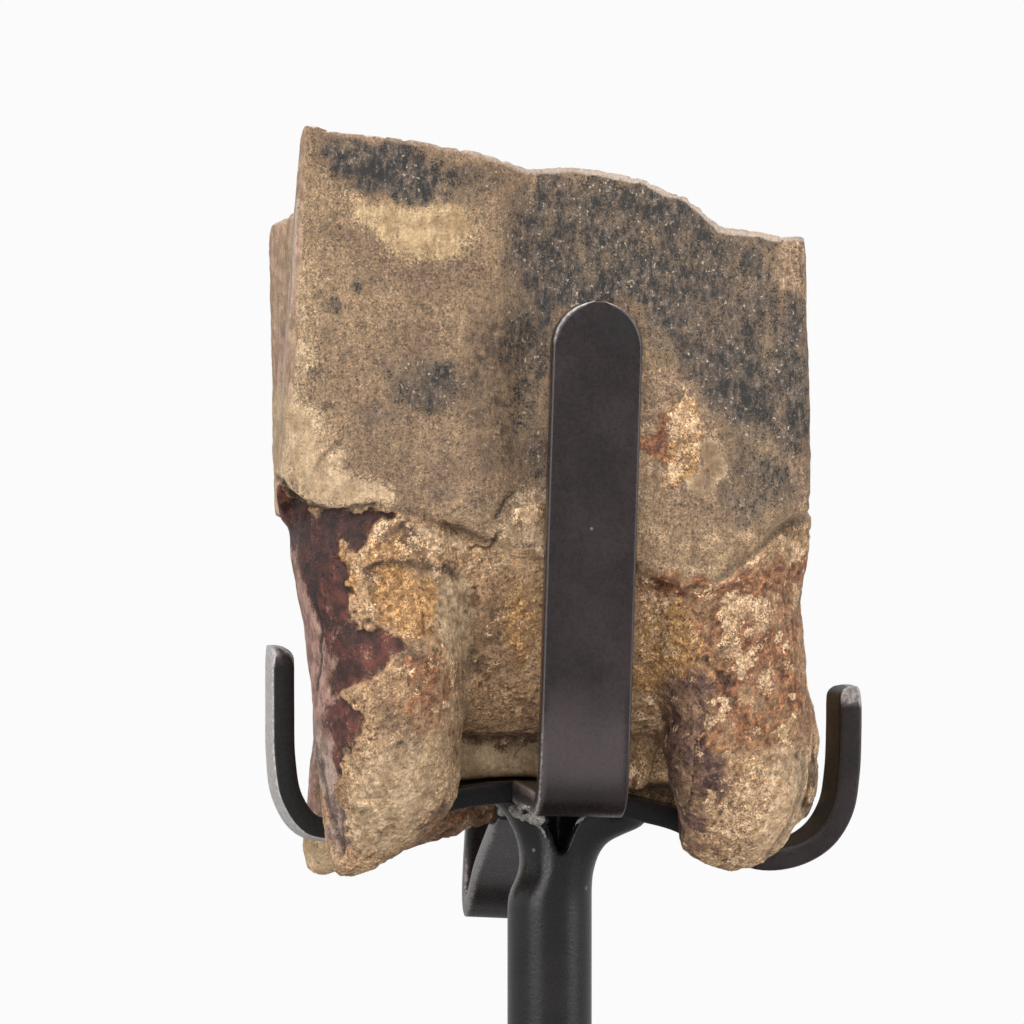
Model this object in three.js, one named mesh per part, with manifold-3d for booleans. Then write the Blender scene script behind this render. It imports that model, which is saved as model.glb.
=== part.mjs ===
// A fossil woolly rhino cheek tooth on its display stand.  Millimetres, +Z up.
//
// The tooth is an upper molar standing crown up: x runs from its front end (-) to its
// rear end (+) and y from the cheek side (-) to the tongue side (+).  The stand is a
// round rod on a square plate, with three flat bars that meet on top of the rod: a
// cradle that runs under the fork of the roots and hooks up at both ends, an arm in
// front of the cheek wall and an arm behind the tooth.
//
// Everything above the plate is measured from the hub, the point on the rod's axis that
// is level with the underside of the cradle.

import * as THREE from 'three';
import { mergeVertices } from 'three/addons/utils/BufferGeometryUtils.js';
import Module from 'manifold-3d';

const wasm = await Module();
wasm.setup();

// ---- Driving dimensions -------------------------------------------------------------

const BASE_SIDE = 80;
const BASE_THICKNESS = 6;
const BASE_CORNER = 3;
const BASE_CHAMFER = 0.6;

const HUB_HEIGHT = 60;
const ROD_DIAMETER = 9.2;
const BAR_WIDTH = 9.5;
const BAR_THICKNESS = 2.4;
const REST_GAP = 0.3;

const NECK_LEVEL = 30;
const CREST_LEVEL = 66;
const CROWN_TOP = 76;
const ENAMEL_EDGE_FAR_SIDES = 31;

// ---- Small tools --------------------------------------------------------------------

// A smooth value through a few [position, value] pairs, held level past both ends.
function profile(pairs) {
  const sorted = [...pairs].sort((a, b) => a[0] - b[0]);
  const first = sorted[0][0];
  const last = sorted[sorted.length - 1][0];
  const curve = new THREE.CubicInterpolant(
    sorted.map((pair) => pair[0]),
    sorted.map((pair) => pair[1]),
    1,
  );
  return (position) => curve.evaluate(THREE.MathUtils.clamp(position, first, last))[0];
}

// A closed skin, made by bending a cylinder: pointAt(height, turn, reach) places each
// of its points, with height 0 to 1, turn 0 to 1 anticlockwise from the -y side, and
// reach 1 on the wall and 0 in the middle of an end.
function skin(pointAt, around, along) {
  const geometry = new THREE.CylinderGeometry(1, 1, 1, around, along);
  geometry.deleteAttribute('normal');
  geometry.deleteAttribute('uv');
  const position = geometry.attributes.position;
  for (let i = 0; i < position.count; i++) {
    const turn = Math.round((Math.atan2(position.getX(i), position.getZ(i)) / (2 * Math.PI)) * around);
    const reach = Math.round(Math.hypot(position.getX(i), position.getZ(i)));
    const point = pointAt(position.getY(i) + 0.5, ((turn + around) % around) / around, reach);
    position.setXYZ(i, point.x, point.y, point.z);
  }
  return mergeVertices(geometry);
}

function toSolid(geometry) {
  const mesh = new wasm.Mesh({
    numProp: 3,
    vertProperties: new Float32Array(geometry.attributes.position.array),
    triVerts: new Uint32Array(geometry.index.array),
  });
  return new wasm.Manifold(mesh);
}

function toGeometry(solid) {
  const mesh = solid.getMesh();
  const geometry = new THREE.BufferGeometry();
  geometry.setAttribute('position', new THREE.BufferAttribute(mesh.vertProperties, 3));
  geometry.setIndex(new THREE.BufferAttribute(mesh.triVerts, 1));
  return geometry;
}

function named(name, geometry, material) {
  const mesh = new THREE.Mesh(geometry, material);
  mesh.name = name;
  return mesh;
}

// ---- The tooth ----------------------------------------------------------------------

// Gentle lumps of the root surface, up to about half a millimetre.
function lumps(x, y, z) {
  const broad = Math.sin(0.55 * x + 0.31 * z + 1.3) * Math.sin(0.43 * z - 0.37 * y);
  const fine = Math.sin(1.25 * x - 0.9 * z + 0.7 * y) * Math.sin(1.05 * z + 0.8 * y + 2.1);
  return 0.32 * broad + 0.16 * fine;
}

// A column between four side profiles, each giving where that side stands at a height:
// front end and rear end along x, cheek and tongue side along y.  A higher `corners`
// makes its section squarer.  Its rings stand closer together towards the tip.
function column({ top, tip, front, rear, cheek, tongue, corners = 2.4, around = 26, along = 13 }) {
  const ringSpread = 1.35;
  const sides = [front, rear, cheek, tongue].map(profile);
  return skin((height, turn, reach) => {
    const z = tip + (top - tip) * height ** ringSpread;
    const [x0, x1, y0, y1] = sides.map((side) => side(z));
    const angle = 2 * Math.PI * turn;
    const power = 2 / corners;
    const across = Math.sign(Math.sin(angle)) * Math.abs(Math.sin(angle)) ** power;
    const deep = -Math.sign(Math.cos(angle)) * Math.abs(Math.cos(angle)) ** power;
    const x = (x0 + x1) / 2 + (reach * across * (x1 - x0)) / 2;
    const y = (y0 + y1) / 2 + (reach * deep * (y1 - y0)) / 2;
    const swell = reach * lumps(x, y, z);
    return new THREE.Vector3(x + across * swell, y + deep * swell, z);
  }, around, along);
}

// Crown walls: each landmark's x, y where the enamel ends at the neck and at the crest.
const CROWN_LANDMARKS = [
  { name: 'front style', neck: [-31.6, -20.2], crest: [-29.35, -20.2] },
  { name: 'front style, cheek', neck: [-31.0, -22.5], crest: [-28.9, -22.3] },
  { name: 'front fold', neck: [-29.0, -23.9], crest: [-27.2, -23.2] },
  { name: 'cheek wall, front', neck: [-24.5, -25.0], crest: [-23.0, -24.0] },
  { name: 'cheek wall', neck: [-16.5, -25.4], crest: [-16.0, -24.3] },
  { name: 'before the groove', neck: [-9.8, -24.8], crest: [-9.0, -23.7] },
  { name: 'groove', neck: [-5.2, -23.5], crest: [-4.6, -22.2] },
  { name: 'rear rib, front', neck: [-0.8, -24.5], crest: [-0.4, -23.6] },
  { name: 'rear rib', neck: [5.5, -25.1], crest: [5.2, -24.5] },
  { name: 'rear rib, rear', neck: [12.0, -24.2], crest: [10.6, -23.2] },
  { name: 'rear hollow', neck: [17.4, -23.5], crest: [15.2, -21.5] },
  { name: 'rear fold', neck: [22.3, -23.0], crest: [20.6, -21.5] },
  { name: 'rear style, cheek', neck: [25.2, -21.4], crest: [24.3, -20.6] },
  { name: 'rear style', neck: [25.6, -18.6], crest: [24.7, -18.4] },
  { name: 'rear wall, cheek', neck: [25.5, -10.0], crest: [24.1, -11.0] },
  { name: 'rear wall waist', neck: [23.8, 0.5], crest: [22.8, -1.0] },
  { name: 'rear cusp', neck: [23.0, 14.0], crest: [20.6, 9.5] },
  { name: 'rear cusp, tongue', neck: [14.0, 23.9], crest: [12.6, 17.6] },
  { name: 'valley mouth', neck: [2.6, 20.6], crest: [3.0, 12.0] },
  { name: 'front cusp, tongue', neck: [-10.5, 26.4], crest: [-10.5, 19.4] },
  { name: 'front cusp', neck: [-24.6, 21.4], crest: [-24.8, 16.6] },
  { name: 'front wall', neck: [-29.2, 9.0], crest: [-30.0, 8.0] },
  { name: 'front wall waist', neck: [-29.8, -8.0], crest: [-28.0, -8.0] },
];

// Height of the enamel's lower edge along the cheek side.
const CHEEK_ENAMEL_EDGE = profile([
  [-31.7, 35.6], [-30.2, 33.7], [-28.0, 32.8], [-21.0, 32.6], [-16.7, 31.8], [-12.5, 30.4],
  [-8.2, 28.7], [-1.0, 28.0], [6.6, 26.4], [8.6, 24.9], [12.5, 24.3], [15.4, 25.1],
  [17.8, 26.9], [21.0, 29.5], [24.5, 31.4],
]);

// Height of the sharp outer crest of the cheek wall, which wear has left highest in front.
const CREST_HEIGHT = profile([
  [-29.5, 72.2], [-27.3, 72.5], [-25.4, 71.8], [-18.5, 71.3], [-14.5, 70.6], [-9.6, 69.3],
  [-5.0, 68.05], [-3.6, 68.15], [-1.0, 68.4], [3.9, 67.9], [9.1, 66.3], [11.9, 64.8],
  [14.5, 62.95], [17.3, 62.4], [24.6, 61.1],
]);

// How far the worn surface has dropped below that crest, going in from the cheek wall.
const WEAR_DROP = profile([
  [0, 0], [1.2, 0.2], [3.0, 2.4], [6.0, 6.0], [10, 7.8], [18, 8.8], [30, 9.6], [48, 11.5],
]);
const LAST_CHEEK_LANDMARK = 13;
const CHEEK_WALL = profile(
  CROWN_LANDMARKS.slice(0, LAST_CHEEK_LANDMARK).map((landmark) => landmark.crest),
);

function wornHeight(x, y) {
  return CREST_HEIGHT(x) - WEAR_DROP(y - CHEEK_WALL(x));
}

// Hollows of the worn surface: two closed pits and the valley, which runs out through the
// tongue side.  Length and width are half sizes; `turn` is in degrees, from +x.
const HOLLOWS = [
  { name: 'middle pit', x: -7.5, y: -6.0, length: 5.4, width: 3.2, turn: 28, depth: 7 },
  { name: 'rear pit', x: 13.2, y: -3.4, length: 4.8, width: 3.0, turn: -52, depth: 6 },
  { name: 'valley', x: 2.2, y: 13.4, length: 14, width: 3.0, turn: 86, depth: 12 },
];

function hollow({ x, y, length, width, turn, depth }) {
  const floor = wornHeight(x, y) - depth;
  const rimAbove = 4;
  const floorShare = 0.3;
  const swing = THREE.MathUtils.degToRad(turn);
  return skin((height, around, reach) => {
    const angle = 2 * Math.PI * around;
    const wobble = 1 + 0.09 * Math.sin(3 * angle + x) + 0.06 * Math.sin(5 * angle + y);
    const spread = reach * wobble * THREE.MathUtils.lerp(floorShare, 1.1, Math.sqrt(height));
    const along = length * spread * Math.sin(angle);
    const across = -width * spread * Math.cos(angle);
    return new THREE.Vector3(
      x + along * Math.cos(swing) - across * Math.sin(swing),
      y + along * Math.sin(swing) + across * Math.cos(swing),
      floor + height * (depth + rimAbove),
    );
  }, 18, 4);
}

// The crown's walls as one tall block, with the enamel's edge as its lower rim.
function crownBlank() {
  const pointsPerLandmark = 5;
  const cheekSideFrom = 17;
  const cheekSideFull = 21;
  const loop = (level) => new THREE.CatmullRomCurve3(
    CROWN_LANDMARKS.map((landmark) => new THREE.Vector3(...landmark[level], 0)),
    true,
    'centripetal',
  );
  const neckLoop = loop('neck');
  const crestLoop = loop('crest');
  return skin((height, turn, reach) => {
    if (!reach) return new THREE.Vector3(0, 0, THREE.MathUtils.lerp(NECK_LEVEL, CROWN_TOP, height));
    const neck = neckLoop.getPoint(turn);
    const crest = crestLoop.getPoint(turn);
    const cheekShare = THREE.MathUtils.smoothstep(-neck.y, cheekSideFrom, cheekSideFull);
    const edge = THREE.MathUtils.lerp(ENAMEL_EDGE_FAR_SIDES, CHEEK_ENAMEL_EDGE(neck.x), cheekShare);
    const z = THREE.MathUtils.lerp(edge, CROWN_TOP, height);
    const point = neck.lerp(crest, (z - NECK_LEVEL) / (CREST_LEVEL - NECK_LEVEL));
    return point.setZ(z);
  }, pointsPerLandmark * CROWN_LANDMARKS.length, 5);
}

// A block standing on the worn surface, taken away from the blank crown.  Its rows follow
// the cheek wall and stand closest together there, where the surface is steepest.
function wearTool() {
  const frontEnd = -36;
  const rearEnd = 29;
  const outsideWall = 1.2;
  const reachAcross = 56;
  const rowSpread = 1.7;
  const geometry = new THREE.BoxGeometry(1, 1, 1, 30, 16, 1);
  geometry.deleteAttribute('normal');
  geometry.deleteAttribute('uv');
  const position = geometry.attributes.position;
  for (let i = 0; i < position.count; i++) {
    const x = THREE.MathUtils.lerp(frontEnd, rearEnd, position.getX(i) + 0.5);
    const y = CHEEK_WALL(x) - outsideWall + reachAcross * (position.getY(i) + 0.5) ** rowSpread;
    position.setXYZ(i, x, y, position.getZ(i) > 0 ? CROWN_TOP + outsideWall : wornHeight(x, y));
  }
  return mergeVertices(geometry);
}

const ROOTS = [
  {
    name: 'front cheek root', top: 34, tip: -7.0, corners: 2.5, around: 34, along: 16,
    front: [[34, -28.6], [31, -29.3], [28, -29.5], [25.8, -29.0], [18, -27.4], [12, -26.9], [6, -26.6],
      [0.4, -25.8], [-2.6, -25.4], [-4.7, -25.3], [-6.2, -25.3], [-7.0, -24.9]],
    rear: [[34, -10], [26.8, -11.2], [17, -11.2], [7.7, -11.9], [3.4, -11.8], [0.7, -12.5], [-1.9, -14.8],
      [-4, -17.6], [-5.4, -19.6], [-6.3, -21.2], [-7.0, -23.2]],
    cheek: [[34, -23.6], [28, -24.2], [20, -24.7], [10, -23.8], [3, -22], [-2, -19.4], [-7.0, -15]],
    tongue: [[34, -2], [20, -3], [10, -4.9], [3, -5.4], [-2, -6.6], [-7.0, -11]],
  },
  {
    name: 'rear cheek root', top: 34, tip: -6.9, corners: 2.4, around: 34, along: 16,
    front: [[34, 4], [26.7, 6.5], [17.2, 8.3], [7.4, 10.3], [1.6, 11.4], [-3.4, 12.8], [-5.2, 14.1],
      [-6.3, 15.9], [-6.9, 18.2]],
    rear: [[34, 24.0], [31, 24.6], [26.7, 25.1], [21.4, 24.8], [17.2, 25.3], [12.9, 25.8], [6, 26.2],
      [1.6, 25.7], [-3.1, 24.5], [-5.2, 22.8], [-6.3, 20.8], [-6.9, 18.8]],
    cheek: [[34, -21.2], [28, -22.1], [24, -22.9], [20, -23.3], [10, -22.6], [3, -20.8], [-3, -17.6],
      [-6.9, -12.8]],
    tongue: [[34, -2], [20, -3], [10, -4.9], [3, -5.4], [-3, -6.4], [-6.9, -12.2]],
  },
  {
    name: 'front tongue root', top: 34, tip: -9.1, corners: 2.4,
    front: [[34, -25], [31, -26.2], [27, -26.8], [20, -25.8], [12, -24.4], [5.5, -24.5], [0, -25.2],
      [-4.8, -25.8], [-7.5, -25.6], [-9.1, -24.9]],
    rear: [[34, -3], [20, -4], [8, -6], [0, -6.2], [-3.4, -6.6], [-4.6, -9.5], [-5.8, -14.2],
      [-7.6, -19.8], [-9.1, -24.3]],
    cheek: [[34, 0], [20, 3], [8, 5.3], [0, 5.8], [-4, 6.8], [-9.1, 11]],
    tongue: [[34, 21.5], [31, 23], [27, 24.6], [20, 24.6], [8, 22.2], [0, 19.6], [-4, 17.2],
      [-9.1, 12.6]],
  },
  {
    name: 'rear tongue root', top: 34, tip: -4.9, corners: 2.3,
    front: [[34, 1], [20, 4], [12, 9], [6, 12.6], [0, 16.4], [-3, 19.6], [-4.9, 24.8]],
    rear: [[34, 20.6], [31, 21.6], [27, 23.4], [20, 26.4], [12, 29.2], [7, 30.7], [2.8, 31.5],
      [0.6, 31.5], [-1.6, 30.9], [-3.7, 29.2], [-4.9, 26.4]],
    cheek: [[34, 0], [20, 2.5], [12, 4], [6, 5.3], [0, 5.6], [-3, 6.8], [-4.9, 10]],
    tongue: [[34, 19.2], [31, 20.6], [27, 22], [20, 22], [8, 19.2], [0, 16.8], [-3, 14.6], [-4.9, 11]],
  },
  {
    name: 'neck', top: 34, tip: 8, corners: 3.4, around: 40, along: 8,
    front: [[34, -27], [20, -24], [13, -19.6], [8, -16]],
    rear: [[34, 23], [20, 21], [13, 18.4], [8, 15.6]],
    cheek: [[34, -22.6], [31, -22.5], [26, -21.4], [20, -19.8], [14, -17.2], [10, -13.8], [8, -10.6]],
    tongue: [[34, 18.4], [20, 18.6], [12, 16.4], [8, 14.4]],
  },
  {
    name: 'fork floor', top: 14, tip: 0.3, corners: 3.4, around: 20, along: 4,
    front: [[14, -13], [0.3, -11.6]],
    rear: [[14, 12], [0.3, 9.6]],
    cheek: [[14, -5], [8, -3.8], [0.3, -3.0]],
    tongue: [[14, 10.8], [0.3, 10.4]],
  },
  {
    name: 'front saddle', top: 32, tip: -0.9, corners: 2.2, around: 22, along: 7,
    front: [[32, -27.2], [20, -25.4], [8, -24.6], [-0.9, -23]],
    rear: [[32, -10], [12, -12], [4, -15.5], [-0.9, -20]],
    cheek: [[32, -12], [8, -10], [2, -8], [-0.9, -4]],
    tongue: [[32, 12], [8, 10], [2, 8], [-0.9, 4]],
  },
  {
    name: 'rear saddle', top: 32, tip: -4.6, corners: 2.2, around: 22, along: 7,
    front: [[32, 8], [12, 11], [2, 15], [-4.6, 21]],
    rear: [[32, 23.2], [12, 25.6], [2, 27], [-4.6, 24.6]],
    cheek: [[32, -12], [8, -10], [0, -8], [-4.6, -3]],
    tongue: [[32, 12], [8, 10], [0, 8], [-4.6, 3]],
  },
  {
    name: 'tongue side web', top: 32, tip: -3.4, corners: 3, around: 30, along: 9,
    front: [[32, -14], [-3.4, -10]],
    rear: [[32, 14], [4, 19], [-3.4, 15]],
    cheek: [[32, 2], [14, 6.4], [6, 8.0], [0, 8.8], [-3.4, 11.5]],
    tongue: [[32, 18.6], [20, 19.6], [14, 19.6], [6, 18.4], [0, 16.6], [-3.4, 13.5]],
  },
];

function tooth(clearOf) {
  let solid = toSolid(crownBlank()).subtract(toSolid(wearTool()));
  for (const root of ROOTS) {
    solid = solid.add(toSolid(column(root)));
  }
  for (const pit of HOLLOWS) {
    solid = solid.subtract(toSolid(hollow(pit)));
  }
  return toGeometry(solid.subtract(clearOf));
}

// ---- The stand ----------------------------------------------------------------------

// Centre line of the cradle in the x-z plane, from the front hook's end to the rear's.
const CRADLE_LINE = [
  [-29.5, 17.0], [-29.5, 10.5], [-29.4, 4.8], [-28.7, 0.6], [-26.5, -2.5], [-22.4, -2.9],
  [-16.5, -1.5], [-10.6, 0.5], [-5.0, 1.2], [0.0, 1.0], [4.5, 0.2], [9.0, -0.8], [13.4, -2.0],
  [18.5, -4.7], [22.6, -6.3], [26.6, -5.9], [29.7, -4.1], [31.6, -1.1], [32.3, 2.8],
  [32.5, 7.5], [32.5, 12.3],
];
// Front arm, out from the cradle's front edge and up; the x here runs forwards.
const FRONT_ARM_LINE = [
  [5.05, 1.2], [12, 1.2], [19, 1.2], [23.7, 1.25], [25.95, 2.6], [26.6, 5.5], [26.6, 12],
  [26.6, 24], [26.6, 36], [26.6, 48], [26.6, 54.2],
];
const FRONT_ARM_LEAN = 1.75;
// Back arm, down from the rod's rear side and up behind the tooth; the x runs backwards.
const BACK_ARM_LINE = [
  [5.05, -1.5], [12, -4.4], [19, -7.4], [25, -10.4], [29, -13.4], [31.6, -14.6], [33.7, -13.4],
  [34.4, -10], [34.0, -4], [32.6, 6], [30.6, 16], [29.2, 25], [28.8, 33],
];
const BACK_ARM_SHIFT = -0.2;
const BACK_ARM_LEAN = 3;

// A flat bar of even thickness, bent along a centre line, with full-round ends where the
// blank was cut round.  The line lies in the x-z plane and the bar's width along y.  Its
// sections stand closer together towards both ends, and `grow` thickens it all round.
function bentBar(line, { roundStart = true, roundEnd = true, grow = 0, roll = () => 0 } = {}) {
  const sections = 40;
  const crowding = 0.75;
  const bluntEnd = 0.12;
  const points = line.map(([x, z]) => new THREE.Vector3(x, 0, z));
  const curve = new THREE.CatmullRomCurve3(points, false, 'centripetal');
  curve.arcLengthDivisions = 800;
  const length = curve.getLength();
  const radius = BAR_WIDTH / 2;
  const widthShare = (run) => {
    const fromStart = roundStart ? run / radius : 1;
    const fromEnd = roundEnd ? (length - run) / radius : 1;
    const nearest = Math.min(fromStart, fromEnd, 1);
    return Math.max(bluntEnd, Math.sqrt(1 - (1 - nearest) ** 2));
  };
  const geometry = new THREE.BoxGeometry(1, 1, 1, sections, 1, 1);
  geometry.deleteAttribute('normal');
  geometry.deleteAttribute('uv');
  const position = geometry.attributes.position;
  for (let i = 0; i < position.count; i++) {
    const even = position.getX(i) + 0.5;
    const crowded = (1 - Math.cos(Math.PI * even)) / 2;
    const share = THREE.MathUtils.lerp(even, crowded, crowding);
    const pastEnd = even === 0 ? -grow : even === 1 ? grow : 0;
    const point = curve.getPointAt(share);
    const along = curve.getTangentAt(share);
    const across = new THREE.Vector3(0, 1, 0).applyAxisAngle(along, roll(share));
    const normal = new THREE.Vector3(-along.z, 0, along.x).applyAxisAngle(along, roll(share));
    point.addScaledVector(along, pastEnd);
    point.addScaledVector(across, position.getY(i) * (BAR_WIDTH * widthShare(share * length) + 2 * grow));
    point.addScaledVector(normal, position.getZ(i) * (BAR_THICKNESS + 2 * grow));
    position.setXYZ(i, point.x, point.y, point.z);
  }
  return mergeVertices(geometry);
}

// The front hook was bent a little out of true: it rolls about its own line at the bend.
const HOOK_ROLL = -0.12;
const HOOK_ROLL_AT = 0.27;
const HOOK_ROLL_SPREAD = 0.09;
const cradleRoll = (share) => HOOK_ROLL * Math.exp(-(((share - HOOK_ROLL_AT) / HOOK_ROLL_SPREAD) ** 2));

function cradle(grow = 0) {
  return bentBar(CRADLE_LINE, { grow, roll: cradleRoll });
}

function frontArm() {
  const geometry = bentBar(FRONT_ARM_LINE, { roundStart: false });
  geometry.rotateZ(-Math.PI / 2);
  geometry.rotateY(THREE.MathUtils.degToRad(FRONT_ARM_LEAN));
  return geometry;
}

function backArm(grow = 0) {
  const geometry = bentBar(BACK_ARM_LINE, { roundStart: false, grow });
  geometry.rotateZ(Math.PI / 2);
  geometry.rotateY(THREE.MathUtils.degToRad(BACK_ARM_LEAN));
  geometry.translate(BACK_ARM_SHIFT, 0, 0);
  return geometry;
}

// The rod, ending in a hand-ground weld that sweeps out under the cradle.
function post(clearOf) {
  const radius = ROD_DIAMETER / 2;
  const foot = BASE_THICKNESS - HUB_HEIGHT;
  const weldStart = -11.5;
  const weldEnd = -REST_GAP;
  const rings = 11;
  const front = profile([[weldStart, -radius], [-11, -radius], [-9.9, -4.4], [-7.8, -3.3], [-5.2, -3.3],
    [-2.7, -4.4], [-1.2, -5.6], [weldEnd, -7.2]]);
  const rear = profile([[weldStart, radius], [-9, radius], [-7.4, 4.8], [-5, 5.7], [-3.6, 7.1],
    [-2.5, 9.2], [weldEnd, 11]]);
  const side = profile([[weldStart, radius], [-8, radius], [-5, 4.5], [weldEnd, 4.5]]);
  const geometry = skin((height, turn, reach) => {
    const ring = Math.round(height * rings);
    const z = ring === 0 ? foot : THREE.MathUtils.lerp(weldStart, weldEnd, (ring - 1) / (rings - 1));
    const angle = 2 * Math.PI * turn;
    const middle = (front(z) + rear(z)) / 2;
    const half = (rear(z) - front(z)) / 2;
    return new THREE.Vector3(
      middle + reach * half * Math.sin(angle),
      -reach * side(z) * Math.cos(angle),
      z,
    );
  }, 28, rings);
  return toGeometry(toSolid(geometry).subtract(clearOf));
}

function basePlate() {
  const half = BASE_SIDE / 2 - BASE_CHAMFER;
  const corner = BASE_CORNER - BASE_CHAMFER;
  const outline = new THREE.Shape();
  const corners = [[half, -half, -90], [half, half, 0], [-half, half, 90], [-half, -half, 180]];
  for (const [x, y, start] of corners) {
    const from = THREE.MathUtils.degToRad(start);
    const centreX = x - Math.sign(x) * corner;
    const centreY = y - Math.sign(y) * corner;
    outline.absarc(centreX, centreY, corner, from, from + Math.PI / 2);
  }
  const geometry = new THREE.ExtrudeGeometry(outline, {
    depth: BASE_THICKNESS - 2 * BASE_CHAMFER,
    bevelThickness: BASE_CHAMFER,
    bevelSize: BASE_CHAMFER,
    bevelSegments: 1,
    curveSegments: 4,
  });
  geometry.translate(0, 0, BASE_CHAMFER);
  return geometry;
}

// ---- Assembly -----------------------------------------------------------------------

const fossil = new THREE.MeshStandardMaterial({ color: '#8f7654', roughness: 0.75, metalness: 0 });
const blackSteel = new THREE.MeshStandardMaterial({ color: '#3a3435', roughness: 0.45, metalness: 0.2 });

const cradleRoom = toSolid(cradle(REST_GAP));

const hub = new THREE.Group();
hub.position.z = HUB_HEIGHT;
hub.add(
  named('tooth', tooth(cradleRoom.add(toSolid(backArm(REST_GAP)))), fossil),
  named('cradle_strip', cradle(), blackSteel),
  named('front_arm', frontArm(), blackSteel),
  named('back_arm', backArm(), blackSteel),
  named('post', post(cradleRoom), blackSteel),
);

const group = new THREE.Group();
group.add(named('base_plate', basePlate(), blackSteel), hub);

export default group;
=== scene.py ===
import math

import bmesh
import bpy
import numpy as np
from mathutils import Matrix, Vector, noise


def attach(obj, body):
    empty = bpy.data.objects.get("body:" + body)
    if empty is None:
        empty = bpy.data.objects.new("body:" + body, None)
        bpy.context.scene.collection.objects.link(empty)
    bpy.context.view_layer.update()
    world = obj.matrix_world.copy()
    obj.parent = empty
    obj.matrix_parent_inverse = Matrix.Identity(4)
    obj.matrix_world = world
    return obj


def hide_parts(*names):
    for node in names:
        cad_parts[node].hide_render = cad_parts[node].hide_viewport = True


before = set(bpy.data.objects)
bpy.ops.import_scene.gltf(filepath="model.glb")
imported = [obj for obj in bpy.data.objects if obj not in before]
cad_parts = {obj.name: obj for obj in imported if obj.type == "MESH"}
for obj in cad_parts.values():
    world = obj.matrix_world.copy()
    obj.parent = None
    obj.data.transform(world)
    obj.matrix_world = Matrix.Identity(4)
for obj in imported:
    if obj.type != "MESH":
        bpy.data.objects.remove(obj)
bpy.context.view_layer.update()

# A fossil woolly rhino cheek tooth on its display stand.  Lengths in the tables below are
# millimetres, as a maker would read them off the piece; the meshes are in metres.
MM = 0.001
HUB_HEIGHT = 60.0

# ---- Sight line of the display: the side from which the specimen is meant to be seen ------

SIGHT_POINT = np.array([-4.13, 0.0, 91.45])
SIGHT_DISTANCE = 681.0
SIGHT_TURN = math.radians(-7.0)
SIGHT_RISE = math.radians(1.5)
LENS = 220.0
SENSOR = 36.0

TO_VIEWER = np.array([
    math.sin(SIGHT_TURN) * math.cos(SIGHT_RISE),
    -math.cos(SIGHT_TURN) * math.cos(SIGHT_RISE),
    math.sin(SIGHT_RISE),
])
RIGHTWARDS = np.array([math.cos(SIGHT_TURN), math.sin(SIGHT_TURN), 0.0])
UPWARDS = np.cross(TO_VIEWER, RIGHTWARDS)


# ---- Small tools ------------------------------------------------------------------------

def smoothstep(low, high, value):
    share = np.clip((value - low) / (high - low), 0.0, 1.0)
    return share * share * (3.0 - 2.0 * share)


def profile(pairs, at):
    """A straight-line value through [position, value] pairs, held level past both ends."""
    pairs = sorted(pairs)
    return np.interp(at, [p[0] for p in pairs], [p[1] for p in pairs])


def lumps(points, size, octaves=3, stretch=(1.0, 1.0, 1.0), shift=0.0):
    """Fractal noise of about -1 to 1 whose main lumps are `size` mm across."""
    scaled = points / (size * np.array(stretch)) + shift
    return np.array([noise.fractal(p, 1.0, 2.0, octaves) for p in scaled.tolist()])


def grains(points, size, shift=0.0):
    """Rounded grains of `size` mm: 1 at a grain's middle, falling to 0 between grains."""
    scaled = points / size + shift
    return np.array([max(0.0, 1.0 - 1.6 * noise.voronoi(p)[0][0]) for p in scaled.tolist()])


def outline_distance(a, b, outline):
    """How far each sheet point lies outside a closed outline, in mm; negative inside it."""
    nearest = np.full(a.shape, 1e9)
    crossings = np.zeros(a.shape, bool)
    for (a0, b0), (a1, b1) in zip(outline, outline[1:] + outline[:1]):
        nearest = np.minimum(nearest, edge_distance(a, b, a0, b0, a1, b1))
        spans = (b0 > b) != (b1 > b)
        if b0 != b1:
            crossings ^= spans & (a < (a1 - a0) * (b - b0) / (b1 - b0) + a0)
    return np.where(crossings, -nearest, nearest)


def edge_distance(a, b, a0, b0, a1, b1):
    along = np.clip(
        ((a - a0) * (a1 - a0) + (b - b0) * (b1 - b0)) / ((a1 - a0) ** 2 + (b1 - b0) ** 2), 0.0, 1.0,
    )
    return np.hypot(a - a0 - along * (a1 - a0), b - b0 - along * (b1 - b0))


def line_distance(a, b, line):
    nearest = np.full(a.shape, 1e9)
    for (a0, b0), (a1, b1) in zip(line, line[1:]):
        nearest = np.minimum(nearest, edge_distance(a, b, a0, b0, a1, b1))
    return nearest


def sheet_place(points):
    """Where points appear from the sight point: how far right of it, above it, how near."""
    offset = points - SIGHT_POINT
    nearer = SIGHT_DISTANCE / (SIGHT_DISTANCE - offset @ TO_VIEWER)
    return offset @ RIGHTWARDS * nearer, offset @ UPWARDS * nearer, nearer


def new_object(name, mesh):
    piece = bpy.data.objects.new(name, mesh)
    bpy.context.scene.collection.objects.link(piece)
    return piece


def finish_piece(piece, material, slot, *nodes):
    piece.data.materials.clear()
    piece.data.materials.append(material)
    piece.data.polygons.foreach_set("use_smooth", [True] * len(piece.data.polygons))
    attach(piece, "root")
    if nodes:
        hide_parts(*nodes)


# ---- Materials --------------------------------------------------------------------------

def linear(hex_colour):
    """An sRGB hex colour as the linear values that the shader works in."""
    channels = [int(hex_colour[i:i + 2], 16) / 255 for i in (1, 3, 5)]
    return [c / 12.92 if c <= 0.04045 else ((c + 0.055) / 1.055) ** 2.4 for c in channels] + [1.0]


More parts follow.
